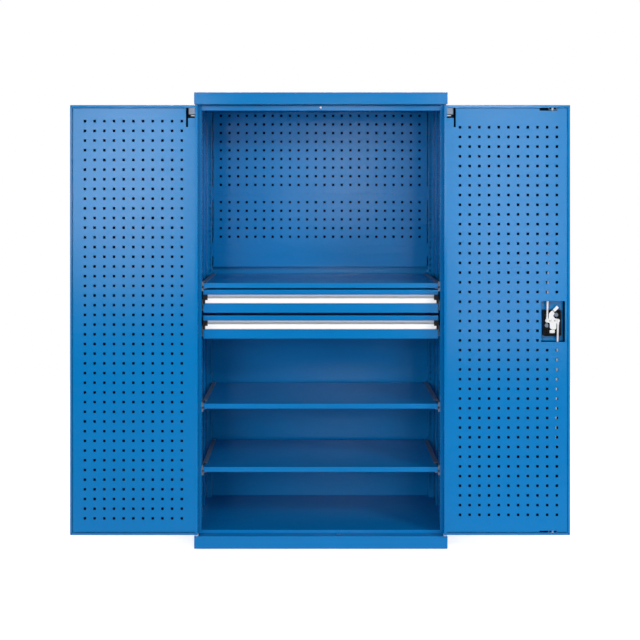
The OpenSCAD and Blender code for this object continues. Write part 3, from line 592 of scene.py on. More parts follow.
def bright_zinc(name, colour):
    """Blanched zinc plate: fine pressing marks, faint bluish and straw tints, a satin gloss."""
    s = Shades(name)
    cloud = s.noise(60.0, 4.0)
    marks = s.noise(500.0, 3.0)
    straw = (colour[0], colour[1] * 0.985, colour[2] * 0.95, 1.0)
    tone = s.mixed(s.spread(cloud, 0.35, 0.65, 0.0, 1.0), tinted(colour, 0.92), straw)
    normal = s.eased_normal(0.0005)[0]
    rough = s.spread(marks, 0.3, 0.7, 0.36, 0.48)
    return s.close(Base_Color=tone, Metallic=0.4, Roughness=rough,
                   Normal=s.bumped(marks, 0.10, 0.0001, normal))


def dull_zinc(name, colour):
    """Zinc plate darkened as painted shade, for zinc parts in recesses: cloudy, half way between metal and a matt
    skin, with edges mixed towards a pale zinc grey.
    """
    s = Shades(name)
    cloud = s.noise(45.0, 4.0)
    tone = s.cloudy(cloud, 0.3, 0.7, colour, 0.85, 1.12)
    normal, rim = s.eased_normal(0.0008)
    tone = s.mixed(s.spread(rim, 0.02, 0.3, 0.0, 0.4), tone, (0.7, 0.72, 0.75, 1.0))
    rough = s.spread(s.noise(300.0), 0.3, 0.7, 0.34, 0.50)
    return s.close(Base_Color=tone, Metallic=0.35, Roughness=rough, Specular_IOR_Level=0.2,
                   Normal=s.bumped(cloud, 0.2, 0.0003, normal))


def anodised(name, colour):
    """Anodised aluminium, brushed along x."""
    s = Shades(name)
    brushed = s.noise(60.0, 4.0, 0.65, s.stretched(0.35, 28.0, 28.0))
    tone = s.cloudy(brushed, 0.35, 0.65, colour, 0.9, 1.06)
    rough = s.spread(brushed, 0.35, 0.7, 0.42, 0.56)
    return s.close(Base_Color=tone, Metallic=0.3, Roughness=rough, Specular_IOR_Level=0.3,
                   Normal=s.bumped(brushed, 0.12, 0.0001))


def moulded(name, colour, grain, roughness, gloss):
    """Moulded plastic with a spark-eroded grain and a faint change of tone."""
    s = Shades(name)
    pits = s.noise(grain, 3.0)
    cloud = s.noise(25.0, 3.0)
    tone = s.cloudy(cloud, 0.3, 0.7, colour, 0.93, 1.05)
    rough = s.spread(pits, 0.3, 0.7, roughness - 0.05, roughness + 0.08)
    normal = s.eased_normal(0.0006)[0]
    return s.close(Base_Color=tone, Roughness=rough, Specular_IOR_Level=gloss,
                   Normal=s.bumped(pits, 0.25, 0.0002, normal))


def label_stock(name, colour):
    """Card and clear cover of a label strip: nearly white, with fibre and a soft gloss."""
    s = Shades(name)
    fibre = s.noise(900.0, 4.0, 0.7, s.stretched(0.4, 1.0, 1.0))
    tone = s.cloudy(fibre, 0.3, 0.7, colour, 0.97, 1.02)
    rough = s.spread(s.noise(12.0), 0.3, 0.7, 0.32, 0.42)
    return s.close(Base_Color=tone, Roughness=rough, Normal=s.bumped(fibre, 0.05, 0.0001))


FINISHES = {}


# Settings

def colour_setting(name, description, default):
    """A colour that the panel shows."""
    return bpy.props.FloatVectorProperty(
        name=name, description=description, default=default, subtype="COLOR", size=3, min=0, max=1)


def share_setting(name, description, default, low=0, high=1):
    """A number between two ends, shown as a slider."""
    return bpy.props.FloatProperty(
        name=name, description=description, default=default, min=low, max=high, subtype="FACTOR")


def size_setting(name, description, default, low, high, unit="NONE"):
    """A number with a unit."""
    return bpy.props.FloatProperty(
        name=name, description=description, default=default, min=low, max=high, unit=unit)


def power_setting(name, lamp, default, high=500):
    """The power of one lamp, in watts."""
    return size_setting(name, "Power of the " + lamp, default, 0, high, "POWER")


class CabinetFinish(bpy.types.PropertyGroup):
    """Colours and gloss of the cabinet"""
    paint: colour_setting("Paint", "Colour of the powder coat", (0.0006, 0.185, 0.50))
    paint_roughness: share_setting("Paint roughness", "How dull the powder coat is", 0.17, 0.05, 0.9)
    paint_gloss: share_setting("Paint gloss", "Specular level of the powder coat", 0.19)
    peel: share_setting("Peel", "Strength of the fine peel in the powder coat", 0.10)
    galvanised: colour_setting("Galvanised steel", "Colour of the slides and the springs", (0.56, 0.58, 0.60))
    zinc: colour_setting("Zinc plate", "Colour of the cam, rods, pivots and cross bars", (0.70, 0.71, 0.73))
    # Zinc darkened as painted shade, for the zinc parts that sit in recesses.
    dull_zinc: colour_setting("Zinc in painted shade", "Colour of the hinge blocks and rod guides", (0.17, 0.21, 0.28))
    aluminium: colour_setting("Aluminium", "Colour of the grips", (0.40, 0.42, 0.46))
    label: colour_setting("Label strip", "Colour of the label strips", (0.95, 0.95, 0.95))
    white_plastic: colour_setting("White plastic", "Colour of the buffer and the bushes", (0.85, 0.85, 0.83))
    black_plastic: colour_setting("Black plastic", "Colour of handle and end caps", (0.006, 0.006, 0.0065))


class CabinetSheet(bpy.types.PropertyGroup):
    """Folds of the sheet steel"""
    bend: size_setting("Bend", "Radius of the folds at the middle of the sheet, in millimetres", 1.6, 0.8, 4)
    corner: size_setting("Corner", "Radius of the welded corners, in millimetres", 2.2, 0.8, 6)


class CabinetStudio(bpy.types.PropertyGroup):
    """Camera and lamps"""
    lens: size_setting("Lens", "Focal length", 69.12, 20, 200, "CAMERA")
    camera_distance: size_setting("Camera distance", "From the front of the cap", 4.8441, 1, 20, "LENGTH")
    camera_height: size_setting("Camera height", "Above the floor", 1.43465, 0, 5, "LENGTH")
    camera_side: size_setting("Camera side", "To the right of the middle", -0.02652, -3, 3, "LENGTH")
    high_left: power_setting("High left", "high lamp on the left", 25, 2000)
    high_right: power_setting("High right", "high lamp on the right", 80, 2000)
    over_left: power_setting("Over left", "lamp over the left panel, above what the doors mirror", 11)
    over_right: power_setting("Over right", "lamp over the right panel, above what the doors mirror", 27)
    outer_panel: power_setting("Outer panel", "soft panel far out on the left", 26)
    left_panel: power_setting("Left panel", "soft panel on the left, above the height of the handle", 44)
    left_low: power_setting("Left low", "weaker lower part of the left panel", 8)
    middle_left: power_setting("Middle left", "soft panel left of the middle", 6)
    middle_right: power_setting("Middle right", "soft panel right of the middle", 12)
    right_panel: power_setting("Right panel", "soft panel on the right", 35)
    right_low: power_setting("Right low", "weaker lower part of the right panel", 9)
    rear_fill: power_setting("Rear fill", "large lamp behind the cabinet", 190, 2000)
    ambient: size_setting("Ambient", "Strength of the even light of the room", 0.05, 0, 2)
    front_tone: share_setting("Front tone", "Tone of the room behind the camera, as gloss shows it", 0.04)
    floor_glow: share_setting("Floor glow", "How much of the pale floor's tone is its own", 0.74)


# Operators

class CABINET_OT_finishes(bpy.types.Operator):
    """Makes the materials and puts them on the nodes that stay"""
    bl_idname = "cabinet.finishes"
    bl_label = "Finishes"

    def execute(self, context):
        f = context.scene.cabinet_finish
        coat = (f.paint, f.paint_roughness, f.paint_gloss, f.peel)
        FINISHES["blue_paint"] = powder_paint("powder paint", *coat)
        # The doors' paints are painted near-black inside their hollows, as painted shade seen through the
        # perforations.
        FINISHES["left_paint"] = powder_paint("powder paint, left door", *coat, inside_of_door(-1))
        opening = metres(LOCK_X - WINDOW_HALF, LOCK_X + WINDOW_HALF, WINDOW_START, SKIN_P,
                         LOCK_Z - WINDOW_BELOW, LOCK_Z + WINDOW_ABOVE)
        FINISHES["right_paint"] = powder_paint("powder paint, right door", *coat, inside_of_door(1), opening)
        # Behind the perforated board the back panel and stiffeners are painted near-black, as painted shade.
        board = node_box("perforated_back_panel")
        middle = node_box("back_panel")[2] + SHEET / 2
        hollow = metres(board[0], board[1], board[2] + 2, middle, board[4] + 1, board[5])
        FINISHES["rear_paint"] = powder_paint("powder paint, rear", *coat, hollow)
        FINISHES["galvanised_steel"] = galvanised("galvanised steel", f.galvanised)
        FINISHES["zinc_plated_steel"] = bright_zinc("bright zinc plate", f.zinc)
        # Zinc in recesses (hinge blocks, bolts, rod guides, cam neck, screws, shelf brackets) takes this darker
        # copy of the zinc plate: painted shade.
        FINISHES["dull_zinc"] = dull_zinc("dull zinc plate", f.dull_zinc)
        FINISHES["aluminium"] = anodised("anodised aluminium", f.aluminium)
        FINISHES["white_plastic"] = moulded("white plastic", f.white_plastic, 700.0, 0.45, 0.4)
        FINISHES["black_plastic"] = moulded("black plastic", f.black_plastic, 900.0, 0.42, 0.12)
        FINISHES["label"] = label_stock("label strip", f.label)
        for name, node in NODES.items():
            node.data.materials.clear()
            rear = name in ("back_panel", "back_stiffeners")
            node.data.materials.append(FINISHES["rear_paint" if rear else slot_of_node(name)])
        return {"FINISHED"}


class CABINET_OT_carcass(bpy.types.Operator):
    """Folds the cap, the plinth, the side panels and the header rail"""
    bl_idname = "cabinet.carcass"
    bl_label = "Carcass"

    def execute(self, context):
        sheet = context.scene.cabinet_sheet
        paint = FINISHES["blue_paint"]
        half = SHEET / 2

        x0, x1, p0, p1, z0, z1 = node_box("top_cap")
        z0 -= CAP_DROP
        lip = LIP_WIDTH
        line = [(40, z1 - half), (half, z1 - half), (half, z0 + half), (lip, z0 + half)]
        holes = [cutter(circle(side * HINGE_X, HINGE_P, 3.3), z0 - 2, z0 + 4, in_cabinet) for side in (-1, 1)]
        holes.append(cutter(STRIKE_SLOT, z0 - 2, z0 + 4, in_cabinet))
        cap = ring_of_sheet([line] * 4, (x0, x1, p0, p1), sheet.corner, in_cabinet, True, SHEET, sheet.bend)
        make_piece("cap", [cap], paint, "top_cap", cutters=holes)

        x0, x1, p0, p1, z0, z1 = node_box("plinth")
        line = [(lip, z1 - half), (half, z1 - half), (half, z0 + half), (lip, z0 + half)]
        holes = [cutter(STRIKE_SLOT, z1 - 4, z1 + 2, in_cabinet)]
        ring = ring_of_sheet([line] * 4, (x0, x1, p0, p1), sheet.corner, in_cabinet, False, SHEET, sheet.bend)
        make_piece("plinth-frame", [ring], paint, "plinth", cutters=holes)

        x0, x1, p0, p1, z0, z1 = node_box("left_side_panel")
        front, depth, wide = p0 + half, POST_DEPTH, x1 - half
        line = [(x0 + REAR_FLANGE, p1 - half), (x0 + half, p1 - half), (x0 + half, front), (wide, front),
                (wide, front + depth), (wide - 11.4, front + depth)]
        section = folded(line, SHEET, sheet.bend)
        for side, node in ((1, "left_side_panel"), (-1, "right_side_panel")):
            wall = carried(section, z0, z1, lambda u, v, s: in_cabinet(side * u, v, s))
            make_piece(node.replace("_", "-"), [wall], paint, node)

        x0, x1, p0, p1, z0, z1 = node_box("header_rail")
        z0, z1 = z0 - CAP_DROP, z1 - 1.0
        line = [(p0 + half, z0 + HEADER_FRONT), (p0 + half + HEADER_LEAN, z0 + half), (p1 - half, z0 + half),
                (p1 - half, z1)]
        rail = carried(folded(line, SHEET, sheet.bend), x0, x1, along_x)
        make_piece("header-rail", [rail], paint, "header_rail")
        return {"FINISHED"}


class CABINET_OT_shelves(bpy.types.Operator):
    """Folds the three shelves and eases the shelf brackets"""
    bl_idname = "cabinet.shelves"
    bl_label = "Shelves"

    def execute(self, context):
        sheet = context.scene.cabinet_sheet
        half = SHEET / 2
        for node in ("drawer_top_shelf", "middle_shelf", "lower_shelf"):
            x0, x1, p0, p1, z0, z1 = node_box(node)
            sides = []
            for lip in (12, 12, 14, 12):
                sides.append([(30, z1 - half), (half, z1 - half), (half, z0 + half), (lip, z0 + half)])
            pan = ring_of_sheet(sides, (x0, x1, p0, p1), sheet.corner, in_cabinet, True, SHEET, sheet.bend)
            make_piece(node.replace("_", "-"), [pan], FINISHES["blue_paint"], node)
        for node in ("top_shelf_brackets", "middle_shelf_brackets", "lower_shelf_brackets"):
            ease_edges(node, FINISHES["dull_zinc"], 0.45)
        return {"FINISHED"}


class CABINET_OT_drawers(bpy.types.Operator):
    """Folds the drawer boxes and fronts, and eases grips, labels, end caps and slides"""
    bl_idname = "cabinet.drawers"
    bl_label = "Drawers"

    def execute(self, context):
        sheet = context.scene.cabinet_sheet
        half = SHEET / 2
        for level in ("upper", "lower"):
            node = level + "_drawer_front"
            x0, x1, p0, p1, z0, z1 = node_box(node)
            line = [(p1, z0 + half), (p0 + half, z0 + half), (p0 + half, z1 - half), (p1, z1 - half)]
            front = carried(folded(line, SHEET, sheet.bend), x0, x1, along_x)
            make_piece(level + "-drawer-front", [front], FINISHES["blue_paint"], node)

            node = level + "_drawer_box"
            x0, x1, p0, p1, z0, z1 = node_box(node)
            line = [(30, z0 + 0.5), (0.5, z0 + 0.5), (0.5, z1 - 0.5), (3.1, z1 - 0.5), (3.1, z1 - 11)]
            box = ring_of_sheet([line] * 4, (x0, x1, p0, p1), 1.6, in_cabinet, True, 1.0, 0.9)
            make_piece(level + "-drawer-box", [box], FINISHES["blue_paint"], node)

            ease_edges(level + "_drawer_grip", FINISHES["aluminium"], 0.35)
            ease_edges(level + "_drawer_label", FINISHES["label"], 0.3)
            ease_edges(level + "_drawer_end_caps", FINISHES["black_plastic"], 0.9)
            for member in ("_slide_rails", "_slide_middles", "_slide_runners"):
                ease_edges(level + member, FINISHES["galvanised_steel"], 0.35)
        return {"FINISHED"}


class CABINET_OT_doors(bpy.types.Operator):
    """Folds both door shells and the overlap strip, and makes the hinge parts"""
    bl_idname = "cabinet.doors"
    bl_label = "Doors"

    def execute(self, context):
        sheet = context.scene.cabinet_sheet
        for side, name in ((-1, "left"), (1, "right")):
            self.make_shell(sheet, side, name)
            self.make_hinge(side, name)
        x0, x1, p0, p1, z0, z1 = node_box("right_door_strip")
        section = rounded_outline([(x0, p0), (x1 - 6.5, p0), (x1 - 6.5, p0 + 0.3), (x1, p0 + 0.3), (x1, p1),
                                   (x0, p1)], 0.14, 2)
        piece = carried(section, z0, z1, in_cabinet)
        make_piece("overlap-strip", [piece], FINISHES["blue_paint"], "right_door_strip")
        return {"FINISHED"}

    def make_shell(self, sheet, side, name):
        """The outer pan with lips of its own width on each side, mitred at the corners."""
        node = name + "_door_shell"
        x0, x1, p0, p1, z0, z1 = node_box(node)
        height, thick = z1 - z0, p1 - p0
        hinge_edge = HINGE_X - min(abs(x0), abs(x1))
        free_edge = max(abs(x0), abs(x1)) - HINGE_X + FREE_REACH
        behind = HINGE_P - p1
        half = SHEET / 2
        place = on_door(side, z0)
        sides = [[(30, half), (half, half), (half, thick - half - LIP_FALL), (lip, thick - half)]
                 for lip in (HINGE_LIP, FREE_LIP, DOOR_LIP, DOOR_LIP)]
        pan = ring_of_sheet(sides, (-hinge_edge, free_edge, 0, height), sheet.corner,
                            lambda a, up, depth: place(a, depth + behind, up), True, SHEET, sheet.bend)
        cutters = []
        for low in (-3.0, height - 3.0):
            cutters.append(cutter(circle(0, 0, 3.5), low, low + 6, place))
        inner = thick + behind
        for along, up, right, over in ((-hinge_edge, 0, 1, 1), (free_edge, 0, -1, 1),
                                       (-hinge_edge, height, 1, -1), (free_edge, height, -1, -1)):
            reach_x = HINGE_LIP if right > 0 else FREE_LIP
            mitre = np.array([(0.0, 0.0), (reach_x, DOOR_LIP)]) + [0.6, 0.6]
            d = mitre[1] - mitre[0]
            n = np.array([-d[1], d[0]]) / np.linalg.norm(d) * 0.45
            corners = np.array([mitre[0] - n, mitre[1] - n, mitre[1] + n, mitre[0] + n])
            corners = corners * [right, over] + [along, up]
            cutters.append(cutter(corners, inner - 5, inner + 1, lambda a, u2, depth: place(a, depth, u2)))
        if side > 0:
            for low in (-3.0, height - 3.0):
                cutters.append(cutter(ROD_SLOT - [HINGE_X, 0], low, low + 6,
                                      lambda a, b, up: place(a, HINGE_P - b, up)))
            hole = rounded_rectangle(*housing(), 3)[0]
            cutters.append(cutter(hole, SKIN_P - 3, SKIN_P + 2, on_face))
        make_piece(name + "-door-shell", [pan], FINISHES[name + "_paint"], node, cutters=cutters)
        trim = DOOR_LIP + PANEL_GAP
        strips = [cutter(rounded_rectangle(-15, free_edge, low, low + trim + 5, 0.1, 1)[0], 26, 36,
                         lambda a, up, depth: place(a, depth, up)) for low in (-5, height - trim)]
        ease_edges(name + "_door_panel", FINISHES["blue_paint"], 0, cutters=strips)
        if side > 0:
            edge, low, high = LOCK_X - RIM_REACH, LOCK_Z - WINDOW_BELOW, LOCK_Z + WINDOW_ABOVE
            line = [(edge - half, SKIN_P - 37), (edge - half, SKIN_P - 9)]
            rim = carried(folded(line, SHEET, 0.6), low, high, in_cabinet)
            make_piece("lock-window-rim", [rim], FINISHES["blue_paint"], body="right_door")

    def make_hinge(self, side, name):
        """Hinge blocks with eased edges, a bolt with a bent cross bar, a wound spring and a turned bush."""
        x0, x1, p0, p1, z0, z1 = node_box(name + "_hinge_block")
        plan = rounded_rectangle(x0, x1, p0, p1, 7.0, 8)[0]
        knuckle = slab(plan, z0, z1, in_cabinet, 1.2)
        bore = cutter(circle(side * HINGE_X, HINGE_P, 3.15, 32), z0 - 1, z1 + 1, in_cabinet)
        make_piece(name + "-hinge-block", [knuckle], FINISHES["dull_zinc"], name + "_hinge_block",
                   cutters=[bore])
        ease_edges(name + "_bolt_guide", FINISHES["blue_paint"], 0.9, 3)
        centre_x = side * HINGE_X

        def upright(x, y, z):
            """Place off the hinge axis."""
            return in_cabinet(centre_x + x, HINGE_P + y, z)

        x0, x1, p0, p1, z0, z1 = node_box(name + "_hinge_bolt")
        block = node_box(name + "_hinge_block")
        bar_z = block[4] - CROSS_BAR_GAP - 2.5
        bar_p = p0 + 2.5
        shank = turned([(0.4, z0), (2.2, z0), (3.0, z0 + 0.9), (3.0, z1 - 2.2), (2.5, z1 - 0.9),
                        (1.6, z1 - 0.2), (0.4, z1)], upright)
        collar_top = node_box(name + "_bolt_guide")[5] - 2
        collar = turned([(2.9, collar_top - 2.5), (4.2, collar_top - 2.5), (4.5, collar_top - 2.2),
                         (4.5, collar_top - 0.3), (4.2, collar_top), (2.9, collar_top)], upright)
        outer = max(abs(x0), abs(x1)) - 2.5
        bend = bent([(HINGE_P, HINGE_X), (bar_p, HINGE_X), (bar_p, outer)], 4.0, 8)
        path = np.stack([side * bend[:, 1], bend[:, 0], np.full(len(bend), bar_z)], -1)
        bar = tube(path, 2.5, 18)
        make_piece(name + "-bolt-bar", [bar], FINISHES["zinc_plated_steel"], name + "_hinge_bolt")
        make_piece(name + "-spring-bolt", [shank, collar], FINISHES["dull_zinc"], body=name + "_bolt")

        x0, x1, p0, p1, z0, z1 = node_box(name + "_hinge_spring")
        foot = z0 + 0.7
        wire, turns = 0.55, 9
        radius = (x1 - x0) / 2 - wire
        t = np.linspace(0, 1, turns * 16 + 1)
        a = 2 * math.pi * turns * t
        lift = foot + wire + (z1 - foot - 2 * wire) * np.clip((t - 0.06) / 0.88, 0, 1)
        coil = np.stack([centre_x + radius * np.cos(a), HINGE_P + radius * np.sin(a), lift], -1)
        spring = make_piece(name + "-wound-spring", [tube(coil, wire, 8)], FINISHES["galvanised_steel"],
                            name + "_hinge_spring")
        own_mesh(spring)

        x0, x1, p0, p1, z0, z1 = node_box(name + "_bottom_bush")
        r = (x1 - x0) / 2
        bush = shell(np.stack([upright(q * np.cos(CIRCLE), q * np.sin(CIRCLE), h) for q, h in
                               ((3.1, z0), (r, z0), (r, z1 - 0.6), (r - 0.6, z1), (3.6, z1),
                                (3.1, z1 - 0.5))]), True)
        make_piece(name + "-pivot-bush", [bush], FINISHES["white_plastic"], name + "_bottom_bush")


class CABINET_OT_small_parts(bpy.types.Operator):
    """Makes the lower pivots, the buffer and the wall edges that stay plain"""
    bl_idname = "cabinet.small_parts"
    bl_label = "Small parts"

    def execute(self, context):
        x0, x1, p0, p1, z0, z1 = node_box("bottom_pivots")
        parts = []
        gap_top = z0 + PIVOT_COLLAR
        r = (p1 - p0) / 2
        for side in (-1, 1):
            place = lambda x, y, z, side=side: in_cabinet(side * HINGE_X + x, HINGE_P + y, z)
            parts.append(turned([(0.5, z0), (r, z0), (r, z0 + 2.2), (r - 0.7, z0 + 2.6), (r - 0.7, z0 + 3.0),
                                 (r, z0 + 3.4),
                                 (r, gap_top - 0.6), (r - 0.6, gap_top), (3.0, gap_top), (3.0, z1 - 1.2),
                                 (1.9, z1), (0.5, z1)], place, 36))
        make_piece("lower-pivots", parts, FINISHES["zinc_plated_steel"], "bottom_pivots")
        x0, x1, p0, p1, z0, z1 = node_box("header_buffer")
        cx, cz, r = (x0 + x1) / 2, (z0 + z1) / 2, (x1 - x0) / 2
        knob = turned([(0.3, p1), (r, p1), (r, p0 + 1.5), (r * 0.93, p0 + 0.8), (r * 0.7, p0 + 0.25),
                       (0.3, p0)],
                      lambda a, b, h: in_cabinet(cx + a, h, cz + b), 28)
        make_piece("buffer-knob", [knob], FINISHES["white_plastic"], "header_buffer")
        ease_edges("floor_panel", FINISHES["blue_paint"], 0.55)
        ease_edges("ceiling_panel", FINISHES["blue_paint"], 0.4)
        ease_edges("side_ribs", FINISHES["blue_paint"], 0.5)
        return {"FINISHED"}


class CABINET_OT_lock(bpy.types.Operator):
    """Makes the handle with its base, the cam, the key plug, the rods and their guides"""
    bl_idname = "cabinet.lock"
    bl_label = "Lock"

    def execute(self, context):
        black, zinc = FINISHES["black_plastic"], FINISHES["zinc_plated_steel"]
        self.make_base(black)
        self.make_handle(black)
        self.make_cam(zinc)
        for node in ("upper_rod", "lower_rod"):
            ease_edges(node, zinc, 0.5)
        self.make_guides()
        x0, x1, inner, outer = node_box("key_plug")[:4]
        cx, cz = (x0 + x1) / 2, LOCK_Z - KEY_DROP
        ring = turned([(1.2, inner + 2), (6.6, inner + 2), (6.9, inner + 2.4), (6.9, outer - 1.0),
                       (6.2, outer), (5.0, outer),
                       (4.8, outer - 0.5), (1.2, outer - 0.5)], lambda a, b, h: in_cabinet(cx + a, h, cz + b),
                      36)
        tongue = slab(rounded_rectangle(cx - 10, cx + 10, cz - 6, cz + 6, 2.0)[0], inner, inner + 2,
                      on_face, 0.4)
        screw = turned([(0.3, inner - 0.25), (2.6, inner - 0.25), (3.0, inner + 0.1), (3.0, inner + 0.6)],
                       lambda a, b, h: in_cabinet(cx + a, h, cz + b), 6)
        make_piece("key-plug", [ring, tongue, screw], zinc, "key_plug")
        return {"FINISHED"}

    def make_guides(self):
        """A bent strap for each rod: a ledge with a slot, and two cheeks on the edge of the door."""
        x0, x1, p0, p1, z0, z1 = node_box("rod_guides")
        wall = 1.6
        parts = []
        for edge, ledge in ((z0, z0 + GUIDE_HEIGHT - wall / 2), (z1, z1 - GUIDE_HEIGHT + wall / 2)):
            line = [(x0 + wall / 2, edge), (x0 + wall / 2, ledge), (x1 - wall / 2, ledge),
                    (x1 - wall / 2, edge)]
            parts.append(carried(folded(line, wall, 2.0), p0, p1, on_face))
        slots = [cutter(ROD_SLOT, low, low + 2 * wall + 2, in_cabinet)
                 for low in (z0 + GUIDE_HEIGHT - 2 * wall - 1, z1 - GUIDE_HEIGHT - 1)]
        # The guides take the darker zinc finish, as painted shade in their recess.
        make_piece("rod-guides", parts, FINISHES["dull_zinc"], "rod_guides", cutters=slots)

    def make_base(self, black):
        """A crowned flange outside, and a ribbed housing inside with two screw bosses."""
        x0, x1, p0, p1, z0, z1 = node_box("handle_base")
        flange = slab(rounded_rectangle(x0, x1, z0, z1, 9.0, 8)[0], -p1, -SKIN_P - 0.02, towards_front, 1.6)
        left, right, low, high = housing()
        parts = [flange]
        wall = 2.4
        outer = rounded_rectangle(left, right, low, high, 5.0, 6)[0]
        inner = rounded_rectangle(left + wall, right - wall, low + wall, high - wall, 2.8, 6)[0]
        floor_p = SKIN_P - 7
        rows = [(outer, SKIN_P + 0.5), (outer, p0 + 0.4), (shrunk(outer, 0.4), p0), (inner, p0),
                (inner, floor_p)]
        grid = np.stack([in_cabinet(o[:, 0], np.full(len(o), d), o[:, 1]) for o, d in rows])
        parts.append(shell(grid))
        for u0, u1, v0, v1 in ((left + 1, right - 1, LOCK_Z + 19, LOCK_Z + 21),
                               (left + 1, right - 1, LOCK_Z - 32, LOCK_Z - 30),
                               (left + 14, left + 16, low + 1, high - 1),
                               (right - 16, right - 14, low + 1, high - 1)):
            parts.append(slab(rounded_rectangle(u0, u1, v0, v1, 0.4, 2)[0], -floor_p - 0.5, -p0 - 1.2,
                              towards_front, 0.3))
        for dx, dz, r, top in ((0, 0, 13, 0.2), (0, -KEY_DROP, 10, 0.6)):
            parts.append(slab(circle(LOCK_X + dx, LOCK_Z + dz, r, 36), -floor_p - 0.5, -p0 - top,
                              towards_front, 0.6))
        make_piece("handle-base", parts, black, "handle_base")
        bosses = []
        for across, down in BOSSES:
            x, z = LOCK_X + across, LOCK_Z - down
            place = lambda a, b, h, x=x, z=z: in_cabinet(x + a, p0 - h, z + b)
            bosses.append(turned([(0.4, -4), (8.0, -4), (8.0, 0.6), (7.0, 1.5), (4.2, 1.5), (3.4, 0.5),
                                  (0.4, 0.5)], place, 28))
        make_piece("base-screws", bosses, FINISHES["dull_zinc"], body="right_door")

    def make_handle(self, black):
        """Two wings on a round hub: the width is the wing's times 1 + (hub / wing - 1) * exp(-(x / 15)^2)."""
        x0, x1, p0, p1 = node_box("turning_handle")[:4]
        half_length, height = (x1 - x0) / 2, p1 - p0
        wing, hub = 11.0, 16.5
        a = np.linspace(0, 2 * math.pi, 96, endpoint=False)
        ux, uy = np.cos(a), np.sin(a)
        reach = half_length - wing
        x = reach * np.sign(ux) * np.clip(np.abs(ux) * 1.6, 0, 1) ** 1.2 + wing * ux
        width = wing * np.sign(uy) * np.abs(uy) ** 0.75
        swell = 1 + (hub / wing - 1) * np.exp(-(x / 15.0) ** 2)
        outline = np.stack([x, width * swell], -1)
        rows = []
        for f, h in ((0.97, 0.0), (1.0, 1.2), (1.0, height * 0.45), (0.96, height * 0.75),
                     (0.88, height * 0.92), (0.74, height * 0.99), (0.4, height), (0.1, height)):
            rows.append(on_lock(outline[:, 0] * f, outline[:, 1] * f,
                                np.full(len(a), -(p1 - SKIN_P) + height - h)))
        grip = shell(np.stack(rows))
        hub_ring = turned([(2, 0), (18, 0), (18, 4.5), (17, 5.6), (2, 5.6)],
                          lambda u, v, h: on_lock(u, v, -(p0 - SKIN_P) - h), 48)
        make_piece("turning-handle", [grip, hub_ring], black, "turning_handle")

    def make_cam(self, zinc):
        """The pressed cam plate with its bent-up arm, pin heads with grooves and the spindle end."""
        base = SKIN_P - node_box("lock_cam")[3]
        r = ROD_THROW
        plate = [(-r, -7), (7 - r, -8), (7.5 - r, -27), (-4, -39), (9, -29), (3, -19), (10, -9), (r, -7),
                 (r, 7), (r - 6, 12), (r - 6, 30), (11, 35), (-1, 35), (-10, 30), (-11, 9), (-r, 7)]
        slots = [cutter(capsule(0, 0, 6.0, 3.4)[:, ::-1] + [x, 0.5], base - 1, base + 5, on_lock)
                 for x in (-9.6, 9.6)]
        turn = math.radians(-46)
        along = np.array([math.cos(turn), math.sin(turn)])
        across = np.array([-along[1], along[0]])

        def arm(start, end, half_width):
            """Outline of a length of the bent-up arm, which leaves the plate at a slant."""
            corners = [start * along - half_width * across, end * along - half_width * across,
                       end * along + half_width * across, start * along + half_width * across]
            return rounded_outline(np.array(corners) + [2.5, -36], 1.4, 4)

        parts = [slab(rounded_outline(plate, 1.6, 4), base, base + 4, on_lock, 0.5),
                 slab(arm(-3.0, 1.0, 6.0), base, base + 4, on_lock, 0.5),
                 slab(arm(4.4, 26.5, 6.0), base, base + 4, on_lock, 0.7)]
        for x in (-r, r):
            parts.append(slab(circle(x, 0, 7, 32), base, base + 4, on_lock, 0.4))
            parts.append(turned([(0.4, 3), (3, 3), (3, 7.4), (2.4, 7.5), (2.4, 7.9), (5, 8.0), (5, 8.8),
                                 (4.4, 9.3), (0.4, 9.3)],
                                lambda a, b, h, x=x: on_lock(x + a, b, base + h), 28))
        parts.append(turned([(0.4, 3), (7, 3), (7, 7), (6.2, 8), (0.4, 8)],
                            lambda a, b, h: on_lock(a, b, base + h), 6))
        make_piece("lock-cam", parts, zinc, "lock_cam", cutters=slots)
        # The neck under the bent-up arm is a separate piece in the darker zinc finish: painted shade in the groove
        # under the arm.
        neck = slab(arm(-1.0, 8.0, 5.4), base, base + 1.0, on_lock, 0.3)
        make_piece("cam-neck", [neck], FINISHES["dull_zinc"], body="lock")


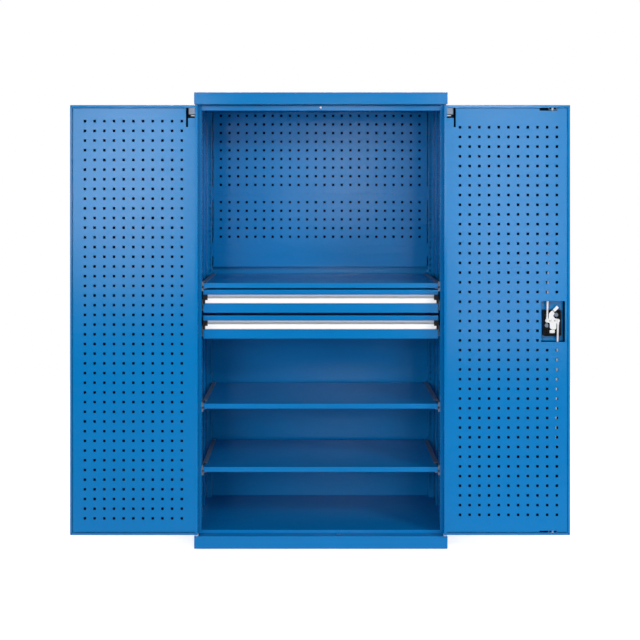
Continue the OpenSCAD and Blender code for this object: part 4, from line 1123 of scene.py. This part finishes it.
class CABINET_OT_stage(bpy.types.Operator):
    """Makes the floor, the room light, the lamps and the camera"""
    bl_idname = "cabinet.stage"
    bl_label = "Stage"

    def execute(self, context):
        studio = context.scene.cabinet_studio
        self.make_floor(studio)
        self.make_room(context, studio)
        look = Vector((0.0, FRONT_Y, 0.95))
        for key, place, width, height in LAMPS:
            self.make_lamp(key.replace("_", " "), place, look, width, height, getattr(studio, key))
        self.make_lamp("rear fill lamp", (0.0, 5.0, 2.4), Vector((0.0, 0.3, 0.9)), 3.0, 2.0, studio.rear_fill)
        self.make_camera(context, studio)
        return {"FINISHED"}

    def make_floor(self, studio):
        """A flat disc whose rings widen outwards, at the height of the floor."""
        radius = 14.0
        rings = radius / MM * np.linspace(0.02, 1, 12) ** 2
        a = np.linspace(0, 2 * math.pi, 64, endpoint=False)
        grid = in_cabinet(rings[:, None] * np.cos(a), rings[:, None] * np.sin(a) + 300, -0.4 + 0 * a)
        quads = quad_faces(12, 64, True, False)
        mesh = fill_mesh("floor", [(grid.reshape(-1, 3), quads, [list(range(64))])])
        floor = add_object("floor", mesh)
        s = Shades("pale floor")
        where = s.add("ShaderNodeSeparateXYZ", Vector=s.object)
        seen = s.add("ShaderNodeLightPath")
        mirrored = s.maths("ADD", seen.outputs["Is Glossy Ray"], seen.outputs["Is Transmission Ray"])
        mirrored = s.maths("MULTIPLY", mirrored,
                           s.spread(where.outputs["Y"], -1.6, -0.5, studio.front_tone, 1.0))
        mask = s.maths("ADD", seen.outputs["Is Camera Ray"], mirrored)
        across = s.maths("SUBTRACT", s.maths("ABSOLUTE", where.outputs["X"]), 0.47)
        along = s.maths("SUBTRACT", s.maths("ABSOLUTE", where.outputs["Y"]), 0.27)
        outside = s.spread(s.maths("MAXIMUM", across, along), 0.0, 0.03, 0.0, 1.0)
        mask = s.maths("MULTIPLY", s.maths("MULTIPLY", mask, outside), studio.floor_glow)
        fine = s.noise(300.0)
        matt = s.add("ShaderNodeBsdfDiffuse",
                     Color=s.mixed(fine, (0.78, 0.78, 0.78, 1), (0.82, 0.82, 0.82, 1)))
        glow = s.add("ShaderNodeEmission", Color=(1, 1, 1, 1), Strength=mask)
        both = s.add("ShaderNodeAddShader")
        s.put(both, "0", matt.outputs["BSDF"])
        s.put(both, "1", glow.outputs["Emission"])
        far = s.add("ShaderNodeVectorMath", {"operation": "LENGTH"})
        s.put(far, "0", s.object)
        fade = s.spread(far.outputs["Value"], 1.7, 4.5, 0.0, 1.0)
        clear = s.add("ShaderNodeBsdfTransparent")
        mix = s.add("ShaderNodeMixShader")
        s.put(mix, "0", fade)
        s.put(mix, "1", both.outputs["Shader"])
        s.put(mix, "2", clear.outputs["BSDF"])
        s.tree.links.new(mix.outputs["Shader"], s.output.inputs["Surface"])
        floor.data.materials.append(s.owner)

    def make_room(self, context, studio):
        """White where the camera, metal or glass sees it, and an even dim light elsewhere."""
        s = Shades("studio room", True)
        context.scene.world = s.owner
        seen = s.add("ShaderNodeLightPath").outputs
        part = s.add("ShaderNodeSeparateXYZ", Vector=s.places["Generated"])
        front = s.spread(part.outputs["Y"], -0.85, -0.25, studio.front_tone, 1.0)
        mirrored = s.maths("ADD", seen["Is Glossy Ray"], seen["Is Transmission Ray"])
        shown = s.maths("ADD", seen["Is Camera Ray"], mirrored)
        strength = s.maths("ADD", seen["Is Camera Ray"], s.maths("MULTIPLY", mirrored, front))
        room = s.maths("MULTIPLY", s.maths("SUBTRACT", 1.0, shown), studio.ambient)
        light = s.add("ShaderNodeBackground", Color=(1, 1, 1, 1), Strength=s.maths("ADD", strength, room))
        s.tree.links.new(light.outputs["Background"], s.output.inputs["Surface"])

    def make_lamp(self, name, place, look, width, height, power):
        """A rectangular lamp that points at a place and that the camera doesn't see."""
        lamp = bpy.data.lights.new(name, "AREA")
        lamp.shape, lamp.size, lamp.size_y, lamp.energy = "RECTANGLE", width, height, power
        holder = bpy.data.objects.new(name, lamp)
        bpy.context.scene.collection.objects.link(holder)
        holder.location = place
        holder.rotation_euler = (look - Vector(place)).to_track_quat("-Z", "Y").to_euler()
        holder.visible_camera = False

    def make_camera(self, context, studio):
        """Level, square to the cabinet; the frame is shifted as in a view camera."""
        data = bpy.data.cameras.new("camera")
        data.lens, data.sensor_width, data.sensor_fit = studio.lens, 36.0, "HORIZONTAL"
        data.shift_x, data.shift_y = SHIFT
        camera = bpy.data.objects.new("camera", data)
        context.scene.collection.objects.link(camera)
        camera.location = (studio.camera_side, FRONT_Y - studio.camera_distance, studio.camera_height)
        camera.rotation_euler = (math.radians(90), 0, 0)
        context.scene.camera = camera
        context.scene.view_settings.view_transform = "Standard"


class CABINET_PT_sidebar(bpy.types.Panel):
    """Sizes, colours and the steps that make the cabinet"""
    bl_label = "Cabinet"
    bl_idname = "CABINET_PT_sidebar"
    bl_space_type = "VIEW_3D"
    bl_region_type = "UI"
    bl_category = "Cabinet"

    def draw(self, context):
        layout = self.layout
        for group in (context.scene.cabinet_finish, context.scene.cabinet_sheet,
                      context.scene.cabinet_studio):
            box = layout.box()
            for key in group.bl_rna.properties.keys():
                if key not in {"rna_type", "name"}:
                    box.prop(group, key)
        for step in STEPS:
            layout.operator(step.bl_idname)


# Sizes that the nodes' boxes don't give, in millimetres
LIP_WIDTH = 60.0
POST_DEPTH = 22.8
REAR_FLANGE = 20.0
CAP_DROP = 3.5
HEADER_FRONT = 18.0
HEADER_LEAN = 0.6
HINGE_LIP = 11.0
FREE_LIP = 9.2
FREE_REACH = 1.0
DOOR_LIP = 10.5
LIP_FALL = 0.7
PANEL_GAP = 2.0
CROSS_BAR_GAP = 2.3
PIVOT_COLLAR = 10.7
GUIDE_HEIGHT = 18.0
RIM_REACH = 46.5
WINDOW_HALF = 46.0
WINDOW_BELOW = 82.0
WINDOW_ABOVE = 78.0
WINDOW_START = 4.0
HOLLOW_START = 4.0
HOUSING_INSET = 5.0
HOUSING_RISE = 13.0
BOSSES = ((15.8, -22.5), (-21.6, 19.5))
CIRCLE = np.linspace(0, 2 * math.pi, 36, endpoint=False)
SHIFT = (0.00916, -0.2110)
ROD_P = (node_box("upper_rod")[2] + node_box("upper_rod")[3]) / 2
STRIKE_SLOT = capsule(2 * HINGE_X - LOCK_X, 2 * HINGE_P - ROD_P, 18.5, 9.0)
ROD_SLOT = capsule(LOCK_X, ROD_P, 18.5, 9.0)

# Lamps in front of the cabinet: setting, place, width and height in metres
LAMPS = (
    ("high_left", (-3.0, -3.6, 2.7), 1.2, 0.8),
    ("high_right", (3.0, -3.6, 2.7), 1.2, 0.8),
    ("over_left", (-1.3, -5.0, 2.8), 1.0, 0.4),
    ("over_right", (1.3, -5.0, 2.8), 1.0, 0.4),
    ("outer_panel", (-2.5, -5.2, 1.6), 0.9, 1.4),
    ("left_panel", (-1.5, -5.35, 1.65), 0.95, 1.3),
    ("left_low", (-1.5, -5.35, 0.78), 0.95, 0.44),
    ("middle_left", (-0.17, -5.4, 1.52), 0.45, 0.95),
    ("middle_right", (0.32, -5.4, 1.52), 0.5, 0.95),
    ("right_panel", (1.5, -5.35, 1.5), 0.95, 1.6),
    ("right_low", (1.5, -5.35, 0.4), 0.95, 0.6),
)

GROUPS = {"cabinet_finish": CabinetFinish, "cabinet_sheet": CabinetSheet, "cabinet_studio": CabinetStudio}
STEPS = (CABINET_OT_finishes, CABINET_OT_carcass, CABINET_OT_shelves, CABINET_OT_drawers, CABINET_OT_doors,
         CABINET_OT_small_parts, CABINET_OT_lock, CABINET_OT_stage)


def register():
    """Adds the settings, the steps and the panel."""
    for cls in (*GROUPS.values(), *STEPS, CABINET_PT_sidebar):
        bpy.utils.register_class(cls)
    for name, group in GROUPS.items():
        setattr(bpy.types.Scene, name, bpy.props.PointerProperty(type=group))


def unregister():
    """Takes the settings, the steps and the panel away."""
    for name in GROUPS:
        delattr(bpy.types.Scene, name)
    for cls in reversed((*GROUPS.values(), *STEPS, CABINET_PT_sidebar)):
        bpy.utils.unregister_class(cls)


def main():
    """Runs every step in order."""
    register()
    for step in STEPS:
        group, name = step.bl_idname.split(".")
        getattr(getattr(bpy.ops, group), name)()


if __name__ == "__main__":
    main()
